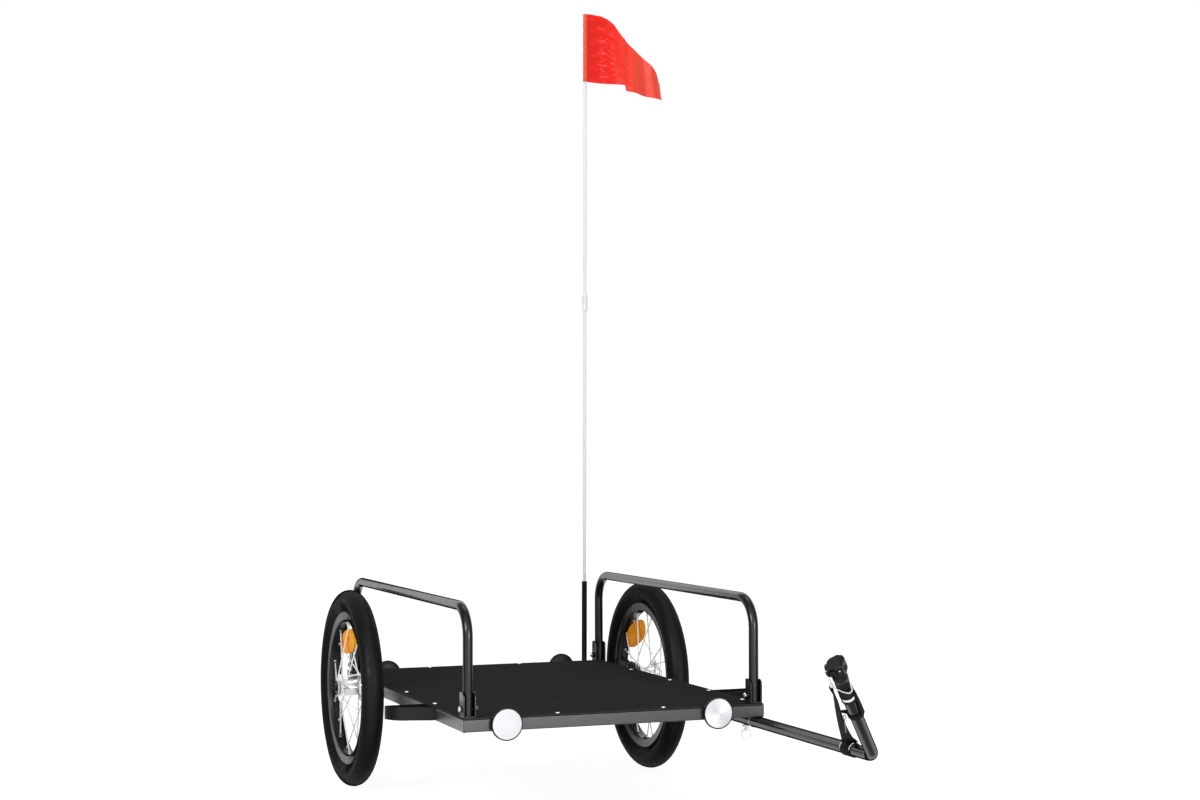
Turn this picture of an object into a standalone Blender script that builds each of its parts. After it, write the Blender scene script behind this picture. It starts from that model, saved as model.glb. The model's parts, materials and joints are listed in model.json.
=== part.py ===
"""A two-wheel cargo trailer for a bicycle: a flat deck on a square-tube frame, side hoops and a tow arm.

Metres, +Z up. The trailer's front looks along -Y and its left side is +X. The pieces are laid out in
trailer coordinates, whose zero is on the ground, midway between the wheels and under their axles.
"""

import math

import bmesh
import bpy
from mathutils import Matrix, Vector

# Clearances
GAP = 0.0003
SLIDE_GAP = 0.0003
BOLT_GAP = 0.0003

# Shared small sizes
EDGE_CHAMFER = 0.001
BOLT_TAIL = 0.0015
THROUGH = 0.060

# Frame
FRAME_WIDTH = 0.583
FRAME_FRONT_Y = -0.668
FRAME_REAR_Y = 0.183
FRAME_BOTTOM_Z = 0.1909
BEAM_SIZE = 0.022
BEAM_WALL = 0.0015
CROSS_SIZE = 0.018
CROSS_WALL = 0.0015
CROSS_Y = -0.300
DECK_THICKNESS = 0.0025
DECK_EDGE_ROUNDING = 0.0006

# Wheels
WHEEL_RADIUS = 0.200
TYRE_WIDTH = 0.044
TYRE_WALL = 0.0035
TYRE_ARC_END = math.radians(125)
TYRE_NECK = 0.0012
BEAD_RADIUS = 0.1445
RIM_INNER_RADIUS = 0.137
RIM_TIP_RADIUS = 0.1555
RIM_WIDTH = 0.027
RIM_WALL = 0.0023
RIM_SHOULDER = 0.0025
HUB_HALF_WIDTH = 0.0245
HUB_FLANGE_RADIUS = 0.0285
HUB_FLANGE_THICKNESS = 0.003
HUB_BARREL_RADIUS = 0.0185
HUB_SHOULDER_RADIUS = 0.0165
HUB_SHOULDER_LENGTH = 0.0015
SPOKES_PER_FLANGE = 10
SPOKE_RADIUS = 0.0012
SPOKE_LACING = math.radians(52)
SPOKE_HOLE_INSET = 0.0045
SPOKE_STAGGER = 0.0022
BUSH_WALL = 0.0022
BUSH_LIP_RADIUS = 0.0115
BUSH_LIP_LENGTH = 0.0014
AXLE_RADIUS = 0.006
AXLE_REACH_INTO_BEAM = 0.017
AXLE_HEAD_RADIUS = 0.0165
AXLE_HEAD_LENGTH = 0.003
BUTTON_RADIUS = 0.0042
BUTTON_LENGTH = 0.016
BUTTON_PROUD = 0.0045
BUTTON_TRAVEL = 0.004
SPOKE_REFLECTOR_LENGTH = 0.085
SPOKE_REFLECTOR_HEIGHT = 0.050
SPOKE_REFLECTOR_THICKNESS = 0.0064
SPOKE_REFLECTOR_RISE = 0.095
SPOKE_REFLECTOR_TURN = {"left": math.radians(32), "right": 0.0}
SPOKE_REFLECTOR_STEPS = 28
SPOKE_REFLECTOR_SQUARENESS = 0.75
RECEIVER_WIDTH = 0.038
RECEIVER_THICKNESS = 0.005
RECEIVER_TOP_Z = 0.2285
RECEIVER_BOSS_RADIUS = 0.011
RECEIVER_BOSS_HEIGHT = 0.0047
RECEIVER_CORNER = 0.012

# Wheel guards
GUARD_HEIGHT = 0.024
GUARD_WALL = 0.003
GUARD_REACH = 0.080
GUARD_FRONT_Y = -0.491
GUARD_REAR_Y = -0.430
GUARD_CORNER_REACH = 0.043
GUARD_CORNER_Y = -0.476
GUARD_TAIL = 0.004
GUARD_CORNER_STEPS = 7

# Side hoops and their feet
HOOP_INSET = 0.0135
HOOP_FRONT_INSET = 0.016
HOOP_REAR_INSET = 0.025
HOOP_TOP_Z = 0.409
HOOP_RADIUS = 0.009
HOOP_WALL = 0.0015
HOOP_BEND_RADIUS = 0.055
BRACKET_WALL = 0.0025
BRACKET_DEPTH = 0.024
BRACKET_HEIGHT = 0.044
HOOP_BOLT_RISE = 0.0145
HOOP_BOLT_RADIUS = 0.003
BOLT_HEAD_RADIUS = 0.0055
BOLT_HEAD_LENGTH = 0.0035
BOLT_DOME = ((0.55, 0.89), (0.85, 0.6))
NUT_RADIUS = 0.0055
NUT_LENGTH = 0.005

# Reflectors on the frame
REFLECTOR_RADIUS = 0.029
REFLECTOR_DEPTH = 0.010
REFLECTOR_RIM = 0.0018
REFLECTOR_BACK = 0.003
LENS_CROWN = 0.0022
LENS_DOME = ((0.0, 1.0), (0.45, 0.8), (0.8, 0.36))
REFLECTOR_BACK_SHARE = 0.8
REFLECTOR_CHAMFER = 0.004
REFLECTOR_Z = 0.203
FRONT_REFLECTOR_INSET = {"left": 0.0965, "right": 0.0785}
REAR_REFLECTOR_INSET = 0.0915

# Tow arm
ARM_INSET = 0.0065
ARM_RADIUS = 0.0109
ARM_WALL = 0.0018
ARM_UNDER_FRAME = 0.228
ELBOW_Y = -1.0986
ELBOW_BEND_RADIUS = 0.030
ARM_RISE = Vector((-0.5456, -0.5414, 0.6397)).normalized()
COUPLER_PIN_AXIS = Vector((0.712, -0.702, 0.0)).normalized()
ARM_END = 0.171
ARM_BOLT_SETBACK = 0.168
ARM_BOLT_RADIUS = 0.003
ARM_BOLT_HEAD_RADIUS = 0.0075
ARM_BOLT_HEAD_LENGTH = 0.005
ARM_NUT_RADIUS = 0.0046
LOCK_PIN_SETBACK = 0.063
LOCK_PIN_RADIUS = 0.004
LOCK_PIN_HEAD_RADIUS = 0.008
LOCK_PIN_HEAD_LENGTH = 0.003
LOCK_PIN_TOP_INTO_BEAM = 0.014
LOCK_LUG_RADIUS = 0.0035
LOCK_LUG_LENGTH = 0.008
LOCK_LUG_HOLE_RADIUS = 0.0020
LOCK_LUG_FLOOR = 0.0016
RING_RADIUS = 0.010
RING_WIRE_RADIUS = 0.0011

# Flexible coupler, measured along the rising tube from the elbow
COLLAR_RADIUS = 0.0122
COLLAR_LENGTH = 0.0155
COLLAR_PLUG_LENGTH = 0.014
STEM_RADIUS = 0.005
BALL_RADIUS = 0.009
BALL_STATION = 0.2095
BOOT_END = 0.2025
BOOT_RADIUS = 0.0128
BOOT_VALLEY = 0.0108
BOOT_RIBS = 3
SLEEVE_RADIUS = 0.0122
SLEEVE_END = 0.238
TONGUE_WIDTH = 0.020
TONGUE_THICKNESS = 0.010
TONGUE_ROOT = 0.006
PIN_STATION = 0.258
HITCH_PIN_RADIUS = 0.004
HITCH_PIN_HEAD_RADIUS = 0.007
HITCH_PIN_HEAD_LENGTH = 0.003
HEAD_WIDTH = 0.032
HEAD_DEPTH = 0.026
HEAD_OFFSET = -0.001
HEAD_BELOW = 0.012
HEAD_ABOVE = 0.021
HEAD_SLANT_LOW = 0.003
HEAD_SLANT_X = 0.008
HEAD_CHAMFER = 0.004
HEAD_CORNER_REACH = 0.012707
BAIL_WIRE_RADIUS = 0.0012
BAIL_EYE_THICKNESS = 0.0030
BAIL_LENGTH = 0.054
BAIL_LEAN = math.radians(17)
BAIL_EYE_GAP = 0.0006
BAIL_BEND_RADIUS = 0.010
BAIL_SHOULDER = 0.55
BAIL_BOW = 0.85
TIE_STATION = 0.130
TIE_WIDTH = 0.010
TIE_THICKNESS = 0.0022
TIE_FLAP_LENGTH = 0.068
TIE_FLAP_WIDTH = 0.012
TIE_FLAP_THICKNESS = 0.004
TIE_TAB_LENGTH = 0.011

# Safety strap, its route measured from the elbow, down to its turn round the first tube
STRAP_WIDTH = 0.020
STRAP_THICKNESS = 0.0026
STRAP_TOP_SHARE = 0.55
STRAP_TWIST = math.radians(75)
STRAP_END_INSET = 0.004
STRAP_STEPS = 3
STRAP_WRAP_FROM_ELBOW = 0.0886
STRAP_ROUTE = (
    (-0.1269, -0.0929, 0.1136),
    (-0.0962, -0.0474, 0.0803),
    (-0.0654, -0.0022, 0.0513),
    (-0.0347, 0.0432, 0.0288),
    (-0.0170, 0.0696, 0.0188),
)

# Flag mast
MAST_INSET = 0.037
MAST_STANDOFF = 0.0075
MAST_LEAN = math.radians(0.21)
HOLDER_BOTTOM_Z = 0.193
HOLDER_TOP_Z = 0.3925
HOLDER_RADIUS = 0.0055
HOLDER_FLOOR = 0.005
HOLDER_TAB_WIDTH = 0.018
HOLDER_TAB_HEIGHT = 0.016
POLE_RADIUS = 0.0036
FERRULE_RADIUS = 0.0064
FERRULE_LENGTH = 0.036
FERRULE_Z = 1.020
POLE_TOP_Z = 1.678
FLAG_TOP_Z = 1.6772
FLAG_BOTTOM_Z = 1.5229
FLAG_HEM_RADIUS = 0.0052
FLAG_THICKNESS = 0.0012
FLAG_COLUMNS = 26
FLAG_ROWS = 7
MAIN_FOLD = 0.011
MAIN_FOLD_TURNS = 1.175
MAIN_FOLD_DRIFT = 0.9
LIGHT_FOLD = 0.006
LIGHT_FOLD_TURNS = 3.25
LIGHT_FOLD_DRIFT = 1.2
FLAG_TOP_EDGE = (
    (0.0, FLAG_TOP_Z),
    (0.0418, 1.6775),
    (0.0667, 1.6683),
    (0.0814, 1.6510),
    (0.0983, 1.6247),
    (0.1187, 1.6031),
    (0.1463, 1.5820),
    (0.1725, 1.5607),
    (0.1864, 1.5385),
    (0.1928, 1.5158),
    (0.1975, 1.4985),
)
FLAG_BOTTOM_EDGE = (
    (0.0, FLAG_BOTTOM_Z),
    (0.0490, 1.5217),
    (0.0945, 1.5205),
    (0.1000, 1.5073),
    (0.1515, 1.5016),
    (0.1975, 1.4960),
)

# Roundness
WHEEL_STEPS = 40
ROUND_STEPS = 20
SMALL_STEPS = 12
PIN_STEPS = 16
LENS_STEPS = 24
BEND_STEPS = 5
ARM_BEVEL_STEPS = 6
HOOP_BEVEL_STEPS = 4
BORE_BEVEL_STEPS = 2
WIRE_BEVEL_STEPS = 1

# Worked out from the sizes above
HALF_WIDTH = FRAME_WIDTH / 2
BEAM_TOP_Z = FRAME_BOTTOM_Z + BEAM_SIZE
DECK_TOP_Z = BEAM_TOP_Z + GAP + DECK_THICKNESS
FRAME_LENGTH = FRAME_REAR_Y - FRAME_FRONT_Y
FRAME_MID_Y = (FRAME_REAR_Y + FRAME_FRONT_Y) / 2
ARM_X = HALF_WIDTH - ARM_INSET
ARM_Z = FRAME_BOTTOM_Z - GAP - ARM_RADIUS
ARM_REAR_Y = FRAME_FRONT_Y + ARM_UNDER_FRAME
ARM_BOLT_Y = FRAME_FRONT_Y + ARM_BOLT_SETBACK
LOCK_PIN_Y = FRAME_FRONT_Y + LOCK_PIN_SETBACK
ELBOW = Vector((ARM_X, ELBOW_Y, ARM_Z))
STRAP_WRAP_Y = ELBOW_Y + STRAP_WRAP_FROM_ELBOW
RECEIVER_FACE_X = HALF_WIDTH + GAP + RECEIVER_THICKNESS
BOSS_FACE_X = RECEIVER_FACE_X + RECEIVER_BOSS_HEIGHT
WHEEL_X = BOSS_FACE_X + 2 * GAP + BUSH_LIP_LENGTH + HUB_HALF_WIDTH
HOOP_X = HALF_WIDTH - HOOP_INSET
HOOP_FRONT_Y = FRAME_FRONT_Y + HOOP_FRONT_INSET
HOOP_REAR_Y = FRAME_REAR_Y - HOOP_REAR_INSET
HOOP_FOOT_Z = DECK_TOP_Z + GAP + BRACKET_WALL + GAP
HOOP_BOLT_Z = DECK_TOP_Z + HOOP_BOLT_RISE
MAST_X = HALF_WIDTH - MAST_INSET
MAST_Y = FRAME_REAR_Y + MAST_STANDOFF
POLE_BORE = POLE_RADIUS + SLIDE_GAP
FLAG_REACH = FLAG_TOP_EDGE[-1][0]
MAST_TIP_X = MAST_X + math.tan(MAST_LEAN) * (FLAG_BOTTOM_Z - HOLDER_BOTTOM_Z) + FLAG_REACH
HEAD_REACH_Y = ELBOW.y + ARM_RISE.y * (PIN_STATION + HEAD_ABOVE) - HEAD_CORNER_REACH
BOX_CENTRE = Vector((
    (MAST_TIP_X - HALF_WIDTH - GUARD_REACH) / 2,
    (HEAD_REACH_Y + WHEEL_RADIUS) / 2,
    0.0,
))
SIDES = {"left": 1, "right": -1}

COLOURS = {
    "black_paint": ((0.012, 0.012, 0.013), 0.32, 0.0),
    "deck_board": ((0.014, 0.014, 0.014), 0.62, 0.0),
    "black_plastic": ((0.016, 0.016, 0.016), 0.45, 0.0),
    "tyre_rubber": ((0.018, 0.018, 0.018), 0.75, 0.0),
    "black_rubber": ((0.015, 0.015, 0.015), 0.6, 0.0),
    "bright_steel": ((0.75, 0.76, 0.78), 0.25, 1.0),
    "zinc_steel": ((0.62, 0.63, 0.65), 0.35, 1.0),
    "white_lens": ((0.90, 0.90, 0.91), 0.15, 0.0),
    "red_lens": ((0.60, 0.02, 0.015), 0.15, 0.0),
    "amber_lens": ((0.95, 0.42, 0.02), 0.2, 0.0),
    "white_fibreglass": ((0.86, 0.86, 0.86), 0.35, 0.0),
    "red_cloth": ((0.86, 0.045, 0.02), 0.5, 0.0),
    "black_webbing": ((0.014, 0.014, 0.015), 0.8, 0.0),
}


def clear_scene():
    """Start from an empty scene with one collection for the parts and one for the cutters."""
    for obj in list(bpy.data.objects):
        bpy.data.objects.remove(obj)
    for name in ("bicycle_trailer", "cutters"):
        collection = bpy.data.collections.new(name)
        bpy.context.scene.collection.children.link(collection)


def make_material(name):
    colour, roughness, metallic = COLOURS[name]
    material = bpy.data.materials.new(name)
    material.use_nodes = True
    shader = material.node_tree.nodes["Principled BSDF"]
    shader.inputs["Base Color"].default_value = (*colour, 1.0)
    shader.inputs["Roughness"].default_value = roughness
    shader.inputs["Metallic"].default_value = metallic
    material.diffuse_color = (*colour, 1.0)
    return material


def material_named(name):
    return bpy.data.materials.get(name) or make_material(name)


def empty_at(name, location, parent=None, rotation=None):
    """An empty that carries pieces, such as a joint's axis. Its Z axis is the axis that pieces turn on."""
    obj = bpy.data.objects.new(name, None)
    obj.location = location
    if rotation is not None:
        obj.rotation_euler = rotation.to_euler()
    obj.parent = parent
    obj.empty_display_size = 0.02
    bpy.data.collections["bicycle_trailer"].objects.link(obj)
    return obj


def place(obj, material, parent, location=(0, 0, 0), rotation=(0, 0, 0)):
    """Put a finished object among the trailer's parts."""
    obj.parent = parent
    obj.location = location
    obj.rotation_euler = rotation
    obj.data.materials.clear()
    obj.data.materials.append(material_named(material))
    bpy.data.collections["bicycle_trailer"].objects.link(obj)
    if obj.type == "MESH":
        obj.data.shade_smooth()
        obj.data.set_sharp_from_angle(angle=math.radians(35))
    return obj


def place_cutter(obj, parent, location=(0, 0, 0), rotation=(0, 0, 0)):
    obj.parent = parent
    obj.location = location
    obj.rotation_euler = rotation
    obj.hide_render = True
    obj.display_type = "WIRE"
    bpy.data.collections["cutters"].objects.link(obj)
    return obj


def combine(obj, other, operation="DIFFERENCE"):
    modifier = obj.modifiers.new(operation.lower(), "BOOLEAN")
    modifier.operation = operation
    modifier.object = other
    modifier.solver = "EXACT"


def cut(obj, *cutters):
    for cutter in cutters:
        combine(obj, cutter)


def join(obj, *others):
    for other in others:
        combine(obj, other, "UNION")


def box_mesh(name, size):
    mesh = bpy.data.meshes.new(name)
    shape = bmesh.new()
    bmesh.ops.create_cube(shape, size=1.0)
    bmesh.ops.scale(shape, vec=size, verts=shape.verts)
    shape.to_mesh(mesh)
    shape.free()
    return bpy.data.objects.new(name, mesh)


def cylinder_mesh(name, radius, length, steps=ROUND_STEPS, top_radius=None):
    """A cylinder or cone along Z, centred."""
    mesh = bpy.data.meshes.new(name)
    shape = bmesh.new()
    bmesh.ops.create_cone(
        shape,
        cap_ends=True,
        segments=steps,
        radius1=radius,
        radius2=radius if top_radius is None else top_radius,
        depth=length,
    )
    shape.to_mesh(mesh)
    shape.free()
    return bpy.data.objects.new(name, mesh)


def sphere_mesh(name, radius, steps=ROUND_STEPS):
    mesh = bpy.data.meshes.new(name)
    shape = bmesh.new()
    bmesh.ops.create_uvsphere(shape, u_segments=steps, v_segments=steps // 2, radius=radius)
    shape.to_mesh(mesh)
    shape.free()
    return bpy.data.objects.new(name, mesh)


def turned_mesh(name, profile, closed, steps=ROUND_STEPS):
    """A profile of (radius, height) points turned about Z, with its outer side running downwards."""
    ring = list(profile)
    area = sum(a[0] * b[1] - b[0] * a[1] for a, b in zip(ring, ring[1:] + ring[:1]))
    if area > 0:
        ring.reverse()
    mesh = bpy.data.meshes.new(name)
    edges = [(i, i + 1) for i in range(len(ring) - 1)]
    if closed:
        edges.append((len(ring) - 1, 0))
    mesh.from_pydata([(r, 0.0, z) for r, z in ring], edges, [])
    obj = bpy.data.objects.new(name, mesh)
    screw = obj.modifiers.new("turn", "SCREW")
    screw.steps = steps
    screw.render_steps = steps
    screw.use_merge_vertices = True
    screw.merge_threshold = 0.00001
    screw.use_smooth_shade = True
    return obj


def rounded_path(corners, radius, steps=BEND_STEPS):
    """The corners joined by straight runs, with each inner corner turned into an arc of the radius."""
    points = [Vector(corners[0])]
    for before, corner, after in zip(corners, corners[1:], corners[2:]):
        corner = Vector(corner)
        back = (Vector(before) - corner).normalized()
        ahead = (Vector(after) - corner).normalized()
        half = back.angle(ahead) / 2
        centre = corner + (back + ahead).normalized() * radius / math.sin(half)
        start = corner + back * radius / math.tan(half) - centre
        finish = corner + ahead * radius / math.tan(half) - centre
        for step in range(steps + 1):
            share = step / steps
            sweep = start.angle(finish)
            near = math.sin((1 - share) * sweep) / math.sin(sweep)
            far = math.sin(share * sweep) / math.sin(sweep)
            points.append(centre + start * near + finish * far)
    points.append(Vector(corners[-1]))
    return points


def curve_object(name, points, radius, resolution):
    """A tube along the points, as a curve with a round bevel and filled caps."""
    curve = bpy.data.curves.new(name, "CURVE")
    curve.dimensions = "3D"
    curve.bevel_depth = radius
    curve.bevel_resolution = resolution
    curve.use_fill_caps = True
    spline = curve.splines.new("POLY")
    spline.points.add(len(points) - 1)
    for slot, point in zip(spline.points, points):
        slot.co = (*point, 1.0)
    return bpy.data.objects.new(name, curve)


def mesh_of(obj):
    """The curve object made a mesh of the same name, with its caps welded to its sides."""
    bpy.context.scene.collection.objects.link(obj)
    graph = bpy.context.evaluated_depsgraph_get()
    mesh = bpy.data.meshes.new_from_object(obj.evaluated_get(graph))
    shape = bmesh.new()
    shape.from_mesh(mesh)
    bmesh.ops.remove_doubles(shape, verts=shape.verts, dist=0.000005)
    bmesh.ops.recalc_face_normals(shape, faces=shape.faces)
    shape.to_mesh(mesh)
    shape.free()
    name = obj.name
    bpy.data.objects.remove(obj)
    made = bpy.data.objects.new(name, mesh)
    made.name = name
    return made


def flat_radius(radius, resolution):
    """The distance from a faceted tube's axis to its flats: the bevel gives four sides and two per step."""
    return radius * math.cos(math.pi / (4 + 2 * resolution))


def tube_mesh(name, points, radius, resolution):
    return mesh_of(curve_object(name, points, radius, resolution))


def outline_mesh(name, outline, thickness):
    """A flat outline in XY, made a plate of the thickness, centred on Z."""
    curve = bpy.data.curves.new(name, "CURVE")
    curve.dimensions = "2D"
    curve.fill_mode = "BOTH"
    curve.extrude = thickness / 2
    spline = curve.splines.new("POLY")
    spline.points.add(len(outline) - 1)
    spline.use_cyclic_u = True
    for slot, point in zip(spline.points, outline):
        slot.co = (point[0], point[1], 0.0, 1.0)
    return mesh_of(bpy.data.objects.new(name, curve))


def arc_points(centre, radius, start, end, steps):
    """Points on an arc in the plane, from one angle to another."""
    angles = [start + (end - start) * i / steps for i in range(steps + 1)]
    return [(centre[0] + radius * math.cos(a), centre[1] + radius * math.sin(a)) for a in angles]


def bevel_edges(obj, width, segments=2):
    bevel = obj.modifiers.new("rounding", "BEVEL")
    bevel.width = width
    bevel.segments = segments
    bevel.limit_method = "ANGLE"


def drill(parent, name, radius, length, location, rotation=(0, 0, 0), steps=SMALL_STEPS):
    return place_cutter(cylinder_mesh(name, radius, length, steps), parent, location, rotation)


ALONG_X = (0, math.radians(90), 0)
ALONG_Y = (math.radians(90), 0, 0)


def mitred_beam(name, length, parent, location, turn):
    """A square tube whose outer side is its -Y side, with both ends cut at 45 degrees."""
    reach = length - GAP * math.sqrt(2)
    beam = box_mesh(name, (reach, BEAM_SIZE, BEAM_SIZE))
    for vertex in beam.data.vertices:
        if vertex.co.y > 0:
            vertex.co.x -= math.copysign(BEAM_SIZE, vertex.co.x)
    inner = BEAM_SIZE - 2 * BEAM_WALL
    place(beam, "black_paint", parent, location, (0, 0, turn))
    bore = place_cutter(box_mesh(name + "_bore", (length, inner, inner)), parent, location, (0, 0, turn))
    cut(beam, bore)
    return beam


def build_frame(root):
    """Four mitred beams, the cross member between them and the deck panel on top."""
    mid_z = FRAME_BOTTOM_Z + BEAM_SIZE / 2
    inset = BEAM_SIZE / 2
    mitred_beam("front_beam", FRAME_WIDTH, root, (0, FRAME_FRONT_Y + inset, mid_z), 0)
    mitred_beam("rear_beam", FRAME_WIDTH, root, (0, FRAME_REAR_Y - inset, mid_z), math.pi)
    for side, sign in SIDES.items():
        beam = mitred_beam(
            f"{side}_side_beam",
            FRAME_LENGTH,
            root,
            (sign * (HALF_WIDTH - inset), FRAME_MID_Y, mid_z),
            sign * math.pi / 2,
        )
        axle_hole = drill(
            root,
            f"{side}_beam_axle_hole",
            AXLE_RADIUS + SLIDE_GAP,
            3 * BEAM_SIZE,
            (sign * HALF_WIDTH, 0, WHEEL_RADIUS),
            ALONG_X,
            ROUND_STEPS,
        )
        cut(beam, axle_hole)
        if side == "left":
            for label, y, radius in (
                ("bolt", ARM_BOLT_Y, ARM_BOLT_RADIUS),
                ("lock_pin", LOCK_PIN_Y, LOCK_PIN_RADIUS),
            ):
                place_of_hole = (ARM_X, y, FRAME_BOTTOM_Z)
                hole = drill(root, f"beam_{label}_hole", radius + BOLT_GAP, BEAM_SIZE / 2, place_of_hole)
                cut(beam, hole)
    cross_length = FRAME_WIDTH - 2 * BEAM_SIZE - 2 * GAP
    cross_z = BEAM_TOP_Z - CROSS_SIZE / 2
    cross = box_mesh("cross_member", (cross_length, CROSS_SIZE, CROSS_SIZE))
    place(cross, "black_paint", root, (0, CROSS_Y, cross_z))
    inner = CROSS_SIZE - 2 * CROSS_WALL
    bore = place_cutter(box_mesh("cross_bore", (FRAME_WIDTH, inner, inner)), root, (0, CROSS_Y, cross_z))
    cut(cross, bore)
    deck = box_mesh("deck_panel", (FRAME_WIDTH, FRAME_LENGTH, DECK_THICKNESS))
    place(deck, "deck_board", root, (0, FRAME_MID_Y, DECK_TOP_Z - DECK_THICKNESS / 2))
    bevel_edges(deck, DECK_EDGE_ROUNDING, 1)


def build_wheel_guard(side, sign, root):
    """A pressed ear on the side beam in front of the wheel, open underneath."""
    reach = GUARD_REACH
    outline = [(0.0, GUARD_REAR_Y), (0.0, GUARD_FRONT_Y), (GUARD_CORNER_REACH, GUARD_CORNER_Y)]
    bend_x = GUARD_CORNER_REACH
    bend_y = GUARD_REAR_Y - GUARD_TAIL
    for step in range(1, GUARD_CORNER_STEPS + 1):
        angle = math.pi / 2 * (step / GUARD_CORNER_STEPS - 1)
        wide = (reach - bend_x) * math.cos(angle)
        deep = (bend_y - GUARD_CORNER_Y) * math.sin(angle)
        outline.append((bend_x + wide, bend_y + deep))
    outline.append((reach - GUARD_TAIL, GUARD_REAR_Y))
    placed = [(sign * (HALF_WIDTH + GAP + x), y) for x, y in outline]
    guard = outline_mesh(f"wheel_guard_{side}", placed, GUARD_HEIGHT)
    shape = bmesh.new()
    shape.from_mesh(guard.data)
    bmesh.ops.dissolve_limit(shape, angle_limit=0.01, verts=shape.verts, edges=shape.edges)
    shape.faces.ensure_lookup_table()
    floor = [f for f in shape.faces if f.normal.z < -0.9]
    bmesh.ops.delete(shape, geom=floor, context="FACES")
    shape.to_mesh(guard.data)
    shape.free()
    place(guard, "black_paint", root, (0, 0, FRAME_BOTTOM_Z + GUARD_HEIGHT / 2))
    shell = guard.modifiers.new("pressed_wall", "SOLIDIFY")
    shell.thickness = GUARD_WALL
    shell.offset = -1
    shell.use_even_offset = True


def build_receiver(side, sign, root):
    """The tab on the side beam that takes the axle, with a round boss towards the hub."""
    half = RECEIVER_WIDTH / 2
    corner = RECEIVER_CORNER
    straight = RECEIVER_TOP_Z - FRAME_BOTTOM_Z - corner
    outline = [(-half, 0.0), (half, 0.0)]
    outline += arc_points((half - corner, straight), corner, 0.0, math.pi / 2, 2)
    outline += arc_points((corner - half, straight), corner, math.pi / 2, math.pi, 2)
    plate = outline_mesh(f"axle_receiver_{side}", outline, RECEIVER_THICKNESS)
    upright = Matrix(((0, 0, sign), (1, 0, 0), (0, 1, 0))).to_euler()
    middle_x = sign * (HALF_WIDTH + GAP + RECEIVER_THICKNESS / 2)
    place(plate, "black_paint", root, (middle_x, 0, FRAME_BOTTOM_Z), upright)
    if sign < 0:
        for polygon in plate.data.polygons:
            polygon.flip()
    boss_length = RECEIVER_BOSS_HEIGHT + RECEIVER_THICKNESS / 2
    boss_x = sign * (BOSS_FACE_X - boss_length / 2)
    boss = cylinder_mesh(f"receiver_boss_{side}", RECEIVER_BOSS_RADIUS, boss_length)
    place_cutter(boss, root, (boss_x, 0, WHEEL_RADIUS), ALONG_X)
    bore = drill(
        root,
        f"receiver_bore_{side}",
        AXLE_RADIUS + SLIDE_GAP,
        THROUGH,
        (sign * HALF_WIDTH, 0, WHEEL_RADIUS),
        ALONG_X,
        ROUND_STEPS,
    )
    join(plate, boss)
    cut(plate, bore)


def build_axle(side, outward, root):
    """The push-button axle: a shaft with a flat head, and the button in its bored end."""
    head_face = HUB_HALF_WIDTH + BUSH_LIP_LENGTH + 3 * GAP + AXLE_HEAD_LENGTH
    head_back = head_face - AXLE_HEAD_LENGTH
    inner_end = HALF_WIDTH - AXLE_REACH_INTO_BEAM - WHEEL_X
    bore_radius = BUTTON_RADIUS + SLIDE_GAP
    bore_end = head_face - BUTTON_LENGTH - BUTTON_TRAVEL
    profile = [
        (0.0, inner_end),
        (AXLE_RADIUS - EDGE_CHAMFER, inner_end),
        (AXLE_RADIUS, inner_end + EDGE_CHAMFER),
        (AXLE_RADIUS, head_back),
        (AXLE_HEAD_RADIUS, head_back),
        (AXLE_HEAD_RADIUS, head_face - EDGE_CHAMFER),
        (AXLE_HEAD_RADIUS - EDGE_CHAMFER, head_face),
        (bore_radius, head_face),
        (bore_radius, bore_end),
        (0.0, bore_end),
    ]
    axle = turned_mesh(f"axle_{side}", profile, False)
    place(axle, "bright_steel", outward)
    button_empty = empty_at(f"axle_button_{side}_travel", (0, 0, head_face), outward)
    top = BUTTON_PROUD
    button_profile = [
        (0.0, top),
        (BUTTON_RADIUS - EDGE_CHAMFER, top),
        (BUTTON_RADIUS, top - EDGE_CHAMFER),
        (BUTTON_RADIUS, top - BUTTON_LENGTH),
        (0.0, top - BUTTON_LENGTH),
    ]
    button = turned_mesh(f"axle_button_{side}", button_profile, False)
    place(button, "black_plastic", button_empty)


def tyre_profile():
    """The tyre as a C-shaped wall: outer arc, both beads, inner arc."""
    crown = TYRE_WIDTH / 2
    centre = (WHEEL_RADIUS - crown, 0.0)
    outer = arc_points(centre, crown, -TYRE_ARC_END, TYRE_ARC_END, 10)
    inner = arc_points(centre, crown - TYRE_WALL, TYRE_ARC_END, -TYRE_ARC_END, 5)
    bead_face = RIM_WIDTH / 2 - RIM_WALL - 2 * GAP
    neck = RIM_TIP_RADIUS + TYRE_NECK
    upper = [(neck, bead_face), (BEAD_RADIUS, bead_face), (BEAD_RADIUS, bead_face - TYRE_WALL)]
    lower = [(r, -z) for r, z in reversed(upper)]
    return outer + upper + inner + lower


def rim_profile():
    """A single-wall rim: a deep well with an upturned flange on each side."""
    half = RIM_WIDTH / 2
    well = half - 2 * RIM_SHOULDER
    floor = RIM_INNER_RADIUS + RIM_WALL
    outer = [
        (RIM_TIP_RADIUS, half),
        (RIM_INNER_RADIUS + RIM_SHOULDER, half),
        (RIM_INNER_RADIUS, well),
        (RIM_INNER_RADIUS, -well),
        (RIM_INNER_RADIUS + RIM_SHOULDER, -half),
        (RIM_TIP_RADIUS, -half),
    ]
    inner = [
        (RIM_TIP_RADIUS, -half + RIM_WALL),
        (floor + RIM_SHOULDER, -half + RIM_WALL),
        (floor + RIM_SHOULDER, half - RIM_WALL),
        (RIM_TIP_RADIUS, half - RIM_WALL),
    ]
    return outer + inner


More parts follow.
